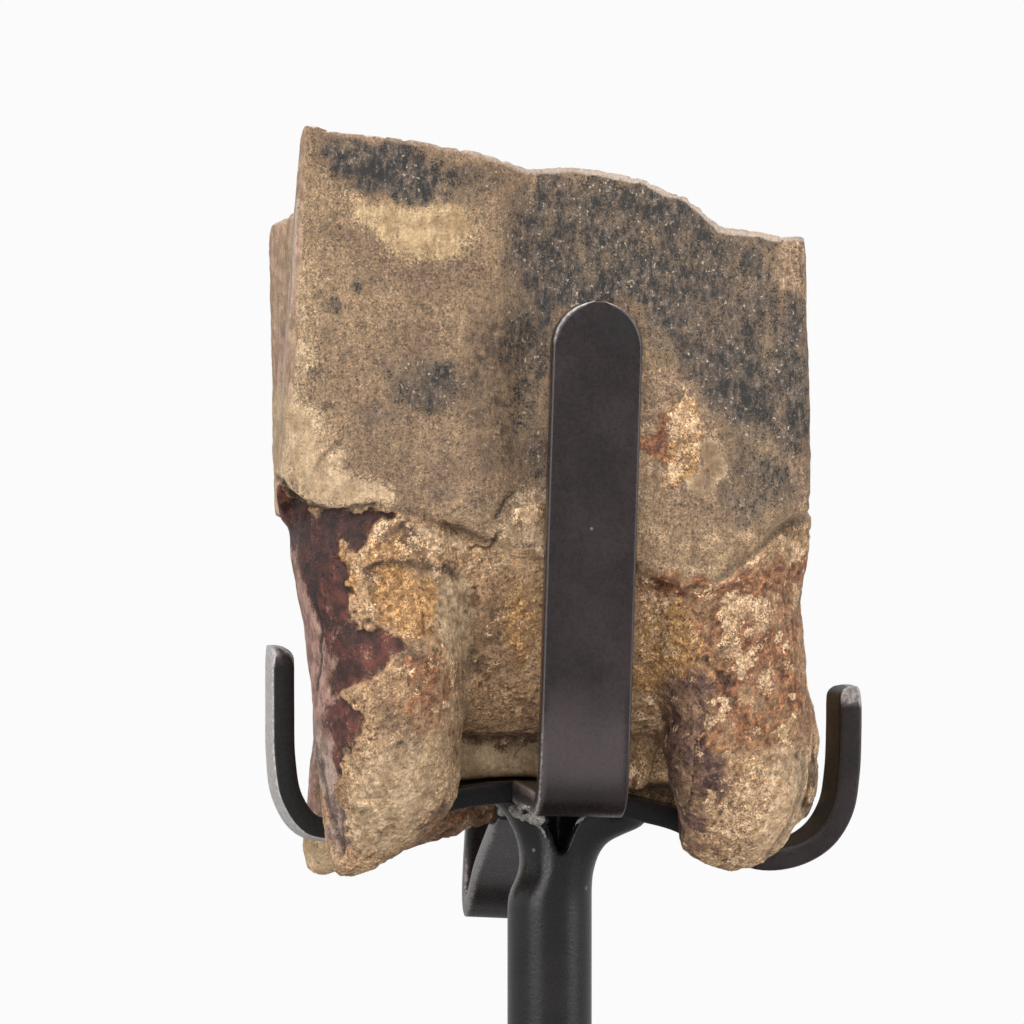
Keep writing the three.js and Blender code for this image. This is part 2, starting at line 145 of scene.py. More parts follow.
def add(tree, kind, settings=None, inputs=None, output=0):
    """Adds a node, sets its settings, sets or links its inputs, and returns one output."""
    node = tree.nodes.new(kind)
    for key, value in (settings or {}).items():
        setattr(node, key, value)
    for key, value in (inputs or {}).items():
        if isinstance(value, bpy.types.NodeSocket):
            tree.links.new(value, node.inputs[key])
        else:
            node.inputs[key].default_value = value
    return node.outputs[output] if node.outputs else None


def arithmetic(tree, operation, first, second=0.0, third=0.0, clamp=False):
    return add(tree, "ShaderNodeMath", {"operation": operation, "use_clamp": clamp},
               {0: first, 1: second, 2: third})


def blend(tree, factor, first, second, way="MIX"):
    return add(tree, "ShaderNodeMix", {"data_type": "RGBA", "blend_type": way, "clamp_factor": True},
               {0: factor, 6: first, 7: second}, 2)


def between(tree, value, low, high, to_low=0.0, to_high=1.0):
    return add(tree, "ShaderNodeMapRange", {"interpolation_type": "SMOOTHSTEP"},
               {0: value, 1: low, 2: high, 3: to_low, 4: to_high})


def centred(tree, pattern, spread):
    """A pattern that lies about one half, moved to lie about zero and reach about -1 to 1."""
    return arithmetic(tree, "DIVIDE", arithmetic(tree, "SUBTRACT", pattern, 0.5), spread)


def new_material(name):
    material = bpy.data.materials.new(name)
    material.use_nodes = True
    material.node_tree.nodes.clear()
    return material, material.node_tree


def millimetres(tree, stretch=(1.0, 1.0, 1.0)):
    """Object coordinates in millimetres; a stretch draws the pattern out along an axis."""
    place = add(tree, "ShaderNodeTexCoord", output=3)
    per_mm = [1.0 / (MM * s) for s in stretch]
    return add(tree, "ShaderNodeMapping", {}, {0: place, 3: per_mm})


def speckle(tree, coordinates, size, detail=2.0, roughness=0.55, curl=0.0):
    return add(tree, "ShaderNodeTexNoise", {},
               {"Vector": coordinates, "Scale": 1.0 / size, "Detail": detail,
                "Roughness": roughness, "Distortion": curl})


def attribute(tree, name):
    return add(tree, "ShaderNodeAttribute", {"attribute_name": name}, output=2)


def close_material(tree, sockets):
    shader = add(tree, "ShaderNodeBsdfPrincipled", {}, sockets)
    add(tree, "ShaderNodeOutputMaterial", {}, {0: shader})


# Stains of the tooth, laid one over another.  Each has the attribute that places it, its
# darker and lighter tone, how soft its edge is, how far its edge strays and how much the
# grain beneath breaks it up.
STAINS = [
    ("tan", "#7c6a57", "#b79f83", 0.30, 0.30, 0.45),
    ("yellow", "#a08b68", "#cfba93", 0.45, 0.35, 0.25),
    ("pale", "#ac9879", "#d0bc9c", 0.40, 0.30, 0.20),
    ("grey_green", "#7f6b53", "#ad9879", 0.38, 0.30, 0.25),
    ("umber", "#463b31", "#7f6c57", 0.32, 0.40, 0.60),
    ("slate", "#1a1c1e", "#6f6459", 0.26, 0.45, 0.80),
    ("brown", "#463527", "#7c6148", 0.34, 0.45, 0.50),
    ("mauve", "#84675f", "#bd9d93", 0.32, 0.30, 0.30),
    ("purple", "#4b3636", "#866a60", 0.32, 0.45, 0.60),
    ("rust", "#64402d", "#b0805a", 0.34, 0.55, 0.45),
    ("ochre", "#997146", "#d6b079", 0.32, 0.45, 0.45),
    ("cream", "#b79a76", "#e8d0ae", 0.22, 0.50, 0.55),
    ("maroon", "#321b15", "#6d3930", 0.26, 0.36, 0.35),
    ("dark_maroon", "#1d1210", "#492b25", 0.30, 0.45, 0.50),
    ("pink", "#7f6c65", "#b3a298", 0.26, 0.25, 0.20),
]


# A stain that the grain breaks up at least this much has the finer mottling.
FINELY_MOTTLED = 0.45


def fossil_tooth_material():
    """Mineral-stained enamel over fossil root dentine with a granular cement crust.
    Dull, speckled and scratched, so light breaks up on it and only the bare maroon
    dentine keeps a slight polish."""
    material, tree = new_material("fossil tooth, stained enamel and cement crust")
    here = millimetres(tree)
    upright = millimetres(tree, (1.0, 1.0, 7.0))
    broad = speckle(tree, here, 7.0, 3.0)
    mottle = speckle(tree, here, 1.9, 4.0, 0.6)
    ragged = speckle(tree, here, 0.9, 4.0, 0.65)
    grit = speckle(tree, here, 0.23, 3.0, 0.7, 0.7)
    strokes = speckle(tree, here, 0.46, 3.0, 0.65, 1.4)
    flecks = speckle(tree, millimetres(tree, (1.0, 1.0, 2.0)), 0.62, 4.0, 0.75)
    blotched_flecks = arithmetic(tree, "MULTIPLY_ADD", mottle, 0.35,
                                 arithmetic(tree, "MULTIPLY", flecks, 0.65))
    fray = speckle(tree, millimetres(tree, (1.0, 1.0, 1.8)), 2.6, 7.0, 0.72)
    streak = speckle(tree, upright, 0.30, 3.0, 0.6)
    crown = attribute(tree, "crown")
    granular = attribute(tree, "granular")

    enamel = blend(tree, between(tree, broad, 0.36, 0.64), linear("#826f5a"), linear("#9b876b"))
    enamel = blend(tree, between(tree, mottle, 0.48, 0.74), enamel, linear("#665747"))
    root = blend(tree, between(tree, broad, 0.36, 0.64), linear("#977c5e"), linear("#b79a78"))
    root = blend(tree, between(tree, mottle, 0.44, 0.64), root, linear("#ccae88"))
    root = blend(tree, between(tree, ragged, 0.52, 0.72), root, linear("#725842"))
    colour = blend(tree, between(tree, crown, 0.3, 0.7), root, enamel)

    uneven = centred(tree, fray, 0.14)
    stipple = centred(tree, grit, 0.16)
    for name, dark, light, soft, stray, broken in STAINS:
        mask = attribute(tree, name)
        drift = arithmetic(tree, "MULTIPLY_ADD", stipple, broken,
                           arithmetic(tree, "MULTIPLY", uneven, stray))
        within = arithmetic(tree, "MULTIPLY", mask, 3.0, clamp=True)
        strayed = arithmetic(tree, "MULTIPLY_ADD", drift, within, mask)
        pattern, low, high = ragged if broken >= FINELY_MOTTLED else mottle, 0.36, 0.64
        if name == "slate":
            pattern, low, high = blotched_flecks, 0.45, 0.60
        tone = blend(tree, between(tree, pattern, low, high), linear(dark), linear(light))
        colour = blend(tree, between(tree, strayed, 0.5 - soft, 0.5 + soft), colour, tone)

    # Worn ivory rim of the enamel and the brown dentine floor inside it.
    dentine = blend(tree, between(tree, mottle, 0.4, 0.65), linear("#6d5740"), linear("#97815f"))
    colour = blend(tree, between(tree, attribute(tree, "dentine"), 0.35, 0.65), colour, dentine)
    colour = blend(tree, between(tree, attribute(tree, "rim"), 0.25, 0.8), colour, linear("#b8aea4"))

    # Grain: streaks, grit and short curled strokes in the tone, bright specks, dark pores.
    bare = arithmetic(tree, "MAXIMUM", attribute(tree, "maroon"), attribute(tree, "mauve"))
    calm = arithmetic(tree, "MAXIMUM", attribute(tree, "yellow"), attribute(tree, "pale"))
    calm = arithmetic(tree, "MAXIMUM", calm, arithmetic(tree, "MULTIPLY", attribute(tree, "cream"), crown))
    calm = arithmetic(tree, "MAXIMUM", calm, bare)
    reach = between(tree, calm, 0.2, 1.0, 1.0, 0.36)
    reach = arithmetic(tree, "MULTIPLY", reach, between(tree, attribute(tree, "slate"), 0.2, 0.9, 1.0, 1.4))
    reach = arithmetic(tree, "MULTIPLY", reach, between(tree, attribute(tree, "rim"), 0.2, 0.8, 1.0, 0.3))
    streaked = arithmetic(tree, "MULTIPLY_ADD", centred(tree, streak, 0.2), 0.14, 1.0)
    gritty = arithmetic(tree, "MULTIPLY", stipple, reach)
    gritty = arithmetic(tree, "MULTIPLY_ADD", gritty, 0.62, 0.98)
    bright_strokes = arithmetic(tree, "MULTIPLY", between(tree, strokes, 0.56, 0.66), reach)
    dark_strokes = arithmetic(tree, "MULTIPLY", between(tree, strokes, 0.45, 0.36), reach)
    stroked = arithmetic(tree, "MULTIPLY_ADD", bright_strokes, 0.50, 1.0)
    stroked = arithmetic(tree, "MULTIPLY_ADD", dark_strokes, -0.42, stroked)
    grain = arithmetic(tree, "MULTIPLY", arithmetic(tree, "MULTIPLY", streaked, gritty), stroked)
    grain = arithmetic(tree, "MAXIMUM", grain, 0.25)
    # Painted shade and highlight: the tone is darkened in the skin's hollows and lightened on its raised
    # points, following the cavity value.
    painted_cavity_shade_and_highlight = between(tree, attribute(tree, "cavity"), -1.0, 1.0, 0.60, 1.26)
    colour = blend(tree, 1.0, colour, arithmetic(tree, "MULTIPLY", grain, painted_cavity_shade_and_highlight), "MULTIPLY")
    colour = blend(tree, 1.0, colour, linear("#f8ebe2"), "MULTIPLY")
    specks = speckle(tree, here, 0.34, 1.0)
    specks = arithmetic(tree, "MULTIPLY", between(tree, specks, 0.665, 0.72),
                        between(tree, mottle, 0.42, 0.6))
    specks = arithmetic(tree, "MULTIPLY", specks,
                        between(tree, attribute(tree, "slate"), 0.1, 0.7, 0.35, 0.65))
    specks = arithmetic(tree, "MULTIPLY", specks, between(tree, bare, 0.2, 0.6, 1.0, 0.0))
    colour = blend(tree, specks, colour, linear("#d9c9ac"))
    pores = speckle(tree, here, 0.40, 1.0)
    pores = between(tree, pores, 0.33, 0.27)
    colour = blend(tree, arithmetic(tree, "MULTIPLY", pores, 0.6), colour, linear("#2f2318"))
    # Dark fill of cracks and seams, with painted shadow along the neck step and shelf lines.
    colour = blend(tree, attribute(tree, "crack_and_painted_shadow"), colour, linear("#1f1610"))

    polish = arithmetic(tree, "MAXIMUM", attribute(tree, "maroon"), attribute(tree, "slate"))
    rough = between(tree, polish, 0.2, 0.9, 0.74, 0.50)
    rough = arithmetic(tree, "MULTIPLY_ADD", arithmetic(tree, "SUBTRACT", grit, 0.5), 0.35, rough)
    height = arithmetic(tree, "MULTIPLY_ADD", grit, 0.5, arithmetic(tree, "MULTIPLY", streak, 0.3))
    height = arithmetic(tree, "MULTIPLY_ADD", strokes, 0.6, height)
    strength = between(tree, granular, 0.0, 1.0, 0.5, 0.95)
    normal = add(tree, "ShaderNodeBump", {}, {"Strength": strength, "Distance": 0.35 * MM, "Height": height})
    close_material(tree, {"Base Color": colour, "Roughness": rough, "Normal": normal, "IOR": 1.55})
    return material


def black_lacquer_material(name, dark, light):
    """Satin black lacquer brushed over mild steel, rubbed through to grey metal along the
    edges.  Dark and slightly warm, it mirrors its surroundings softly."""
    material, tree = new_material(name)
    here = millimetres(tree)
    peel = speckle(tree, here, 0.35, 2.0)
    cloud = speckle(tree, here, 6.0, 3.0)
    rag = speckle(tree, here, 0.45, 3.0, 0.65)
    paint = blend(tree, between(tree, cloud, 0.35, 0.65), linear(dark), linear(light))
    paint = blend(tree, 1.0, paint, between(tree, peel, 0.3, 0.7, 0.9, 1.12), "MULTIPLY")
    edge = attribute(tree, "edge")
    # A pale grey film where the edge value is middling: rubbed paint along the worn edges, and above the
    # front arm's bend a painted reflection of the floor.
    paint = blend(tree, between(tree, edge, 0.26, 0.70, 0.0, 0.18), paint, linear("#857b79"))
    # Matt paint darkened nearly to black where the edge value is below zero: a matt finish, and painted shade
    # on the bars' shaded faces.
    matt_and_painted_shade = between(tree, edge, -0.1, -0.8)
    paint = blend(tree, matt_and_painted_shade, paint, linear("#0d0a0b"))
    worn = arithmetic(tree, "MULTIPLY_ADD", centred(tree, rag, 0.16), 0.16, edge)
    worn = between(tree, worn, 0.78, 0.98)
    cell = add(tree, "ShaderNodeTexVoronoi", {}, {"Vector": here, "Scale": 0.16})
    chips = arithmetic(tree, "MULTIPLY_ADD", arithmetic(tree, "SUBTRACT", rag, 0.5), 0.10, cell)
    chips = between(tree, chips, 0.045, 0.03)
    bare = arithmetic(tree, "MAXIMUM", worn, chips)
    grey = between(tree, rag, 0.35, 0.65)
    steel = blend(tree, grey, linear("#6b6563"), linear("#99918f"))
    steel = blend(tree, between(tree, edge, 1.0, 1.4), steel,
                  blend(tree, grey, linear("#a09b98"), linear("#d3cec9")))
    colour = blend(tree, bare, paint, steel)
    metallic = arithmetic(tree, "MULTIPLY", bare, 0.35)
    rough = between(tree, peel, 0.3, 0.7, 0.25, 0.38)
    rough = arithmetic(tree, "ADD", rough, arithmetic(tree, "MULTIPLY", bare, 0.20))
    rough = arithmetic(tree, "MULTIPLY_ADD", matt_and_painted_shade, 0.40, rough)
    normal = add(tree, "ShaderNodeBump", {},
                 {"Strength": 0.25, "Distance": 0.08 * MM,
                  "Height": arithmetic(tree, "SUBTRACT", peel, arithmetic(tree, "MULTIPLY", bare, 0.8))})
    close_material(tree, {"Base Color": colour, "Metallic": metallic, "Roughness": rough, "Normal": normal,
                          "Coat Weight": 0.2, "Coat Roughness": 0.2})
    return material


def ground_weld_material():
    """Weld metal dressed with a file and lightly painted over: grey scratched steel shows
    in blotches where the edge value is high, on the faces turned to the front and left, where
    it is also a painted highlight; black paint covers the rest."""
    material, tree = new_material("filed weld under thin black paint with painted highlight")
    here = millimetres(tree)
    scratch = speckle(tree, millimetres(tree, (1.0, 4.0, 0.6)), 0.22, 3.0, 0.7)
    cloud = speckle(tree, here, 1.4, 4.0, 0.65)
    bare = arithmetic(tree, "MULTIPLY_ADD", arithmetic(tree, "SUBTRACT", cloud, 0.5), 1.4,
                      attribute(tree, "edge"))
    bare = between(tree, bare, 0.35, 0.75)
    steel = blend(tree, between(tree, scratch, 0.35, 0.65), linear("#86817c"), linear("#d6d1cb"))
    colour = blend(tree, bare, linear("#1d1a1b"), steel)
    rough = between(tree, scratch, 0.3, 0.7, 0.34, 0.52)
    normal = add(tree, "ShaderNodeBump", {}, {"Strength": 0.35, "Distance": 0.1 * MM, "Height": scratch})
    close_material(tree, {"Base Color": colour, "Metallic": arithmetic(tree, "MULTIPLY", bare, 0.7),
                          "Roughness": rough, "Normal": normal})
    return material


# ---- The tooth --------------------------------------------------------------------------

# Height above the hub of the enamel's lower edge along the cheek side, by x.
CHEEK_ENAMEL_EDGE = [
    (-31.7, 35.6), (-30.2, 33.7), (-28.0, 32.8), (-21.0, 32.6), (-16.7, 31.8), (-12.5, 30.4), (-8.2, 28.7),
    (-1.0, 28.0), (6.6, 26.4), (8.6, 24.9), (12.5, 24.3), (15.4, 25.1), (17.8, 26.9), (21.0, 29.5),
    (24.5, 31.4),
]
FAR_ENAMEL_EDGE = 31.0

# The worn outer crest of the cheek wall, in mm right of and above the sight point.
CREST = [
    (-23.1, 42.0), (-21.8, 42.1), (-20.5, 41.8), (-19.2, 41.35), (-15.2, 41.0), (-12.6, 40.7), (-10.0, 40.4),
    (-7.4, 39.8), (-3.5, 39.2), (-0.9, 38.3), (1.7, 37.4), (3.0, 37.3), (4.4, 37.5), (7.0, 37.5), (9.6, 37.2),
    (12.2, 36.7), (14.8, 36.1), (16.1, 35.4), (17.4, 34.8), (18.7, 34.5), (20.0, 33.6), (21.3, 32.4),
    (22.6, 31.3), (23.9, 30.9), (26.6, 30.6), (29.2, 30.0), (32.0, 30.0),
]

# Outlines on the cheek side, in mm right of and above the sight point.
PATCHES = {
    "slate": [
        (0.68, 2.6, [(0.4, 34.0), (2.0, 36.6), (5.2, 37.0), (10.7, 37.0), (15.6, 35.9), (20.5, 33.4),
                     (23.7, 30.5), (28.1, 29.6), (29.5, 23.1), (31.3, 19.8), (32.2, 12.2), (31.7, 6.5),
                     (28.1, 6.2), (24.8, 7.8), (21.8, 11.6), (19.4, 14.6), (15.0, 18.2), (13.9, 19.8),
                     (13.9, 23.1), (3.6, 23.1), (3.8, 8.9), (2.5, 8.7), (1.3, 14.4), (0.7, 23.1)]),
        (0.95, 1.5, [(10.7, 35.0), (15.0, 36.3), (19.4, 34.0), (21.0, 31.2), (18.3, 29.6), (13.9, 31.2),
                     (10.9, 32.3)]),
        (0.95, 1.5, [(11.2, 28.0), (16.7, 29.1), (19.4, 25.8), (20.5, 20.9), (18.3, 18.2), (15.0, 19.8),
                     (13.5, 23.1), (11.5, 25.2)]),
        (0.95, 1.3, [(3.0, 24.7), (5.8, 26.3), (9.6, 25.8), (11.8, 24.2), (9.6, 23.1), (4.8, 22.5),
                     (3.7, 18.7), (3.0, 12.2), (2.0, 12.2), (1.7, 19.8)]),
        (0.9, 1.8, [(19.4, 18.2), (23.7, 19.8), (27.0, 17.6), (28.6, 12.2), (27.0, 8.4), (23.2, 9.5),
                    (20.5, 12.7)]),
        (0.9, 1.2, [(29.7, 24.2), (31.7, 23.1), (32.2, 14.4), (32.0, 8.9), (30.3, 8.9), (29.4, 16.5)]),
        (0.8, 1.3, [(24.3, 29.6), (27.5, 29.1), (28.3, 24.2), (26.4, 22.0), (24.3, 25.2)]),
        (0.5, 2.0, [(24.0, 7.8), (30.3, 6.2), (31.3, 1.3), (27.0, -2.0), (22.5, -0.9), (23.2, 3.5)]),
        (1.0, 1.2, [(-20.7, 39.4), (-18.2, 40.5), (-12.2, 39.4), (-8.9, 38.5), (-7.8, 36.1),
                    (-9.5, 34.0), (-12.7, 34.2), (-16.5, 36.1), (-19.3, 36.7)]),
        (0.45, 1.6, [(-8.9, 38.9), (-1.3, 37.0), (-0.8, 35.0), (-3.5, 33.4), (-7.8, 33.4), (-9.5, 35.0)]),
        (0.6, 1.6, [(-13.8, 16.0), (-10.0, 17.1), (-6.7, 16.3), (-4.6, 14.4), (-6.2, 11.6),
                    (-9.5, 10.9), (-12.7, 12.2)]),
        (0.55, 0.9, [(-16.8, 11.6), (-14.6, 12.4), (-13.5, 10.8), (-15.2, 9.5)]),
        (0.62, 0.8, [(-17.3, 25.6), (-16.3, 25.7), (-15.9, 24.6), (-16.5, 23.9), (-17.4, 24.4)]),
        (0.66, 0.8, [(-19.6, 23.1), (-18.6, 23.1), (-18.1, 22.0), (-18.7, 21.3), (-19.7, 22.1)]),
        # A soft slate band just left of the front arm: slate stain, deepened as painted shade of the groove
        # there.
        (0.58, 2.2, [(-0.8, 30.7), (3.6, 30.7), (3.6, 4.6), (1.4, 4.6), (-0.4, 14.4)]),
    ],
    "umber": [
        (0.75, 1.8, [(3.6, 36.1), (9.6, 36.3), (13.9, 35.0), (13.9, 30.7), (9.6, 27.2), (5.2, 27.2),
                     (3.6, 30.7)]),
        (0.6, 1.8, [(20.5, 28.5), (24.8, 27.4), (25.9, 19.8), (22.1, 19.8), (20.5, 24.2)]),
        (0.55, 2.0, [(-4.6, 23.1), (0.9, 24.2), (0.9, 4.6), (-3.5, 4.6), (-5.7, 13.3)]),
        (0.6, 1.5, [(-12.7, -13.9), (-8.9, -12.8), (-7.3, -18.3), (-11.1, -21.0)]),
        (0.6, 1.3, [(-14.4, -20.5), (-11.1, -19.9), (-10.0, -25.4), (-13.3, -28.1), (-14.9, -24.8)]),
    ],
    "yellow": [
        (0.95, 2.1, [(-17.4, 34.0), (-10.0, 33.4), (-4.5, 33.7), (-4.3, 29.8), (-6.2, 27.9),
                     (-11.6, 27.6), (-15.0, 29.6), (-16.8, 32.0)]),
    ],
    "pale": [
        (0.95, 1.8, [(-24.9, 12.0), (-23.1, 12.4), (-21.1, 10.0), (-19.8, 6.5), (-17.4, 4.4),
                     (-13.8, 3.3), (-12.8, 1.5), (-14.6, 0.5), (-18.7, 0.4), (-21.4, 1.1), (-23.5, 2.0),
                     (-24.8, 3.7), (-25.4, 7.8)]),
        (0.6, 1.8, [(-23.9, 28.5), (-21.1, 27.2), (-21.3, 18.7), (-22.5, 11.1), (-24.4, 8.9),
                    (-24.6, 14.4)]),
        (0.8, 0.8, [(-12.4, 0.2), (-10.9, -0.9), (-7.8, -2.0), (-5.4, -2.2), (-3.7, -3.6), (-6.2, -3.9),
                    (-8.9, -3.0), (-11.8, -2.0)]),
        # The fibrous floor deep between the roots: a pale tone, set lighter as painted light where the recess
        # lies in shade.
        (1.0, 0.6, [(-6.5, -25.7), (-1.3, -25.0), (3.9, -24.4), (3.9, -30.3), (-6.5, -30.3)]),
        (0.85, 0.9, [(27.4, -25.6), (29.6, -24.6), (31.8, -26.0), (32.2, -30.0), (31.2, -34.0), (28.8, -37.6),
                     (25.4, -38.8), (26.4, -35.5), (28.2, -31.5), (27.2, -28.5)]),
        (0.72, 2.2, [(-14.5, -24.0), (-11.0, -21.0), (-7.5, -19.0), (-5.4, -16.0), (-5.7, -22.6),
                     (-6.7, -30.3),
                     (-10.0, -35.7), (-15.4, -37.9), (-18.2, -35.7), (-17.6, -29.2)]),
        (0.95, 1.0, [(-9.4, -6.4), (-5.2, -6.0), (-4.2, -10.0), (-4.6, -16.0), (-7.0, -16.0), (-8.9, -11.6)]),
        (0.90, 0.8, [(-23.4, -34.8), (-19.6, -35.4), (-18.6, -39.8), (-23.4, -39.8)]),
        (0.82, 0.9, [(20.6, 8.4), (22.8, 7.8), (23.2, 4.0), (21.6, 1.2), (19.4, 1.8), (18.8, 3.8),
                     (20.4, 5.6)]),
        (0.60, 1.4, [(-1.6, -1.0), (0.4, 2.8), (3.8, 2.8), (3.8, -6.5), (0.2, -8.0), (-2.4, -5.4)]),
    ],
    "tan": [
        (1.0, 0.7, [(1.3, 37.2), (3.6, 37.4), (5.4, 36.7), (5.9, 35.0), (4.8, 33.7), (2.8, 33.3),
                    (1.6, 34.4)]),
        (0.9, 0.8, [(28.8, 29.8), (31.7, 30.0), (31.7, 24.2), (30.4, 23.5), (28.7, 25.0)]),
        (0.75, 1.2, [(29.2, 12.2), (31.3, 7.8), (32.0, 3.5), (32.0, -0.9), (30.8, -0.9), (29.7, 4.6)]),
        (0.62, 1.2, [(4.6, 33.4), (8.4, 33.6), (12.6, 31.6), (14.0, 29.4), (9.0, 29.6), (5.2, 30.6)]),
        (0.75, 1.5, [(13.9, 14.9), (16.3, 15.9), (20.7, 14.4), (22.2, 8.9), (21.1, 4.6), (18.3, 1.3),
                     (14.5, 1.3), (13.9, 7.8)]),
    ],
    "grey_green": [
        (0.95, 1.2, [(13.9, -2.6), (17.0, -1.7), (20.5, -2.4), (24.3, -2.0), (27.2, -1.3), (27.6, -3.9),
                     (25.7, -6.5), (22.4, -8.1), (19.4, -7.8), (16.5, -6.3), (14.4, -5.2)]),
        (0.85, 0.7, [(27.4, -3.0), (30.3, -1.1), (31.3, -0.9), (31.1, -2.4), (28.7, -3.9)]),
        (0.8, 0.8, [(13.7, 4.6), (14.8, 5.0), (15.7, 2.4), (17.0, 0.0), (16.5, -2.0), (14.4, -2.0),
                    (13.7, 0.8)]),
        (0.85, 0.8, [(20.6, 7.6), (22.6, 7.2), (22.6, 3.6), (21.2, 1.0), (19.8, 2.2), (20.6, 4.6)]),
    ],
    "rust": [
        (0.95, 0.5, [(17.0, 10.9), (17.5, 9.5), (17.0, 8.1), (17.8, 7.0), (17.4, 5.4), (16.1, 5.0),
                     (15.2, 6.2),
                     (14.1, 7.0), (14.5, 8.1), (15.6, 8.7), (16.1, 10.0)]),
        (0.90, 1.0, [(13.6, -5.8), (16.1, -6.5), (19.4, -7.7), (22.6, -7.6), (25.9, -6.3), (29.2, -5.2),
                     (31.1, -5.2), (31.3, -7.9), (28.1, -8.7), (24.8, -9.6), (20.5, -9.6), (16.1, -8.7),
                     (13.6, -7.9)]),
        (0.72, 1.6, [(20.5, -9.6), (24.3, -13.9), (25.4, -13.1), (30.3, -14.5), (31.9, -18.3), (30.3, -21.0),
                     (27.0, -23.9), (24.3, -27.1), (21.8, -24.8), (22.2, -20.5), (20.5, -16.1)]),
        (0.85, 0.9, [(24.6, -14.1), (27.5, -13.5), (30.5, -15.2), (31.0, -18.3), (28.6, -19.4),
                     (25.9, -18.5)]),
        (0.56, 2.2, [(13.6, -7.6), (22.0, -8.6), (31.6, -6.6), (32.4, -14.0), (32.4, -24.0),
                     (28.0, -27.6), (22.4, -25.0),
                     (21.6, -17.4), (13.6, -18.6)]),
        (0.28, 0.7, [(-8.2, -32.6), (-4.0, -31.5), (-1.4, -32.0), (-1.6, -34.4), (-6.8, -36.0),
                     (-11.5, -37.6)]),
        (0.46, 1.6, [(-12.0, -16.5), (-8.0, -14.5), (-6.3, -18.0), (-6.8, -24.0), (-10.0, -25.5),
                     (-13.0, -22.0)]),
        (0.85, 1.0, [(22.5, -20.5), (26.5, -20.0), (28.2, -23.0), (26.0, -26.5), (23.0, -26.0)]),
        (0.80, 0.8, [(16.6, -8.8), (20.8, -8.8), (21.6, -13.4), (19.6, -15.4), (18.2, -12.6)]),
    ],
    "brown": [
        (0.46, 1.6, [(-5.2, -9.0), (-1.0, -8.0), (3.6, -9.0), (3.6, -17.5), (-1.3, -18.5), (-5.4, -17.8)]),
        # Painted shadow: a dark brown band under the overhanging roof between the roots.
        (0.70, 0.5, [(-5.6, -23.6), (-2.0, -23.9), (3.6, -23.2), (3.6, -25.2), (-1.6, -25.7), (-5.6, -25.2)]),
        (0.70, 0.5, [(32.2, -26.5), (34.6, -27.0), (34.6, -36.0), (30.2, -36.8), (31.6, -32.0)]),
        (0.85, 0.4, [(-16.1, -6.8), (-15.4, -5.4), (-12.5, -4.9), (-9.5, -5.3), (-6.6, -6.0), (-6.2, -7.4),
                     (-9.1, -6.8), (-12.4, -6.3), (-14.8, -7.0), (-15.2, -9.6), (-16.2, -9.0)]),
        (0.45, 1.0, [(-9.0, -32.0), (-4.0, -31.0), (-1.0, -31.5), (-1.2, -34.6), (-6.8, -37.0),
                     (-12.5, -38.6)]),
        (0.76, 0.8, [(-15.2, -2.2), (-11.0, -1.0), (-9.0, -2.6), (-10.0, -4.8), (-14.0, -4.9)]),
        (0.40, 1.4, [(-12.0, -17.5), (-8.5, -16.0), (-7.0, -19.0), (-8.0, -23.0), (-12.0, -22.5)]),
    ],
    "cream": [
        (0.58, 0.5, [(18.1, 13.7), (18.7, 13.5), (18.9, 12.2), (20.0, 10.6), (20.7, 9.1), (20.5, 8.1),
                     (20.9, 7.2),
                    (20.2, 6.5), (19.4, 5.4), (18.6, 4.6), (18.4, 3.0), (17.0, 2.8), (16.1, 3.7), (16.3, 4.8),
                    (17.4, 5.4), (17.8, 6.7), (17.4, 7.8), (17.0, 8.9), (17.2, 10.6), (17.8, 11.6)]),
        (0.74, 0.5, [(22.9, -9.1), (24.6, -8.7), (25.0, -11.2), (24.3, -15.0), (23.1, -15.6), (22.4, -13.9),
                     (22.6, -11.2)]),
        (0.52, 0.5, [(25.7, -9.6), (27.6, -9.4), (28.7, -10.9), (28.1, -13.1), (26.8, -13.5), (25.9, -12.0)]),
        (0.85, 0.3, [(25.0, -15.2), (26.1, -15.6), (26.7, -16.5), (25.9, -17.0), (25.1, -16.3)]),
        (0.90, 0.35, [(27.0, -17.7), (27.9, -17.4), (28.3, -19.2), (27.6, -20.2), (26.8, -19.8)]),
        (0.80, 0.3, [(28.7, -23.5), (29.4, -23.1), (29.5, -24.8), (28.7, -25.4)]),
        (0.70, 0.4, [(13.9, -9.0), (15.6, -8.5), (16.1, -10.1), (14.8, -10.9)]),
        (0.40, 1.2, [(13.6, -10.4), (16.6, -10.2), (18.0, -13.0), (17.2, -16.6), (13.6, -17.4)]),
        (0.65, 1.2, [(23.7, -30.3), (26.4, -28.1), (28.7, -27.0), (30.3, -29.4), (31.2, -32.0), (30.8, -34.4),
                     (29.0, -36.9), (27.0, -38.1), (24.3, -38.5), (22.6, -36.6), (22.9, -33.5)]),
        (0.90, 0.5, [(0.0, 0.9), (1.3, 1.4), (2.8, 0.7), (3.0, -1.3), (1.5, -2.0), (0.2, -1.3),
                     (-0.7, -0.4)]),
        (0.80, 0.4, [(-15.9, -5.2), (-15.2, -3.6), (-13.9, -2.0), (-12.4, -0.9), (-12.4, 0.2), (-13.5, -0.4),
                     (-15.2, -2.0), (-16.3, -3.9)]),
        (0.60, 0.5, [(-12.4, -3.6), (-10.0, -2.6), (-7.4, -3.4), (-7.0, -4.6), (-9.6, -4.6), (-12.0, -4.4)]),
    ],
    "ochre": [
        (0.85, 0.8, [(17.6, 12.6), (19.4, 12.2), (21.0, 8.6), (20.4, 5.8), (18.8, 3.0), (16.6, 2.6),
                     (16.6, 5.0), (17.4, 8.0)]),
        (0.9, 0.8, [(-15.2, -6.5), (-12.4, -5.9), (-9.4, -6.7), (-8.3, -7.8), (-7.9, -10.2), (-8.2, -12.8),
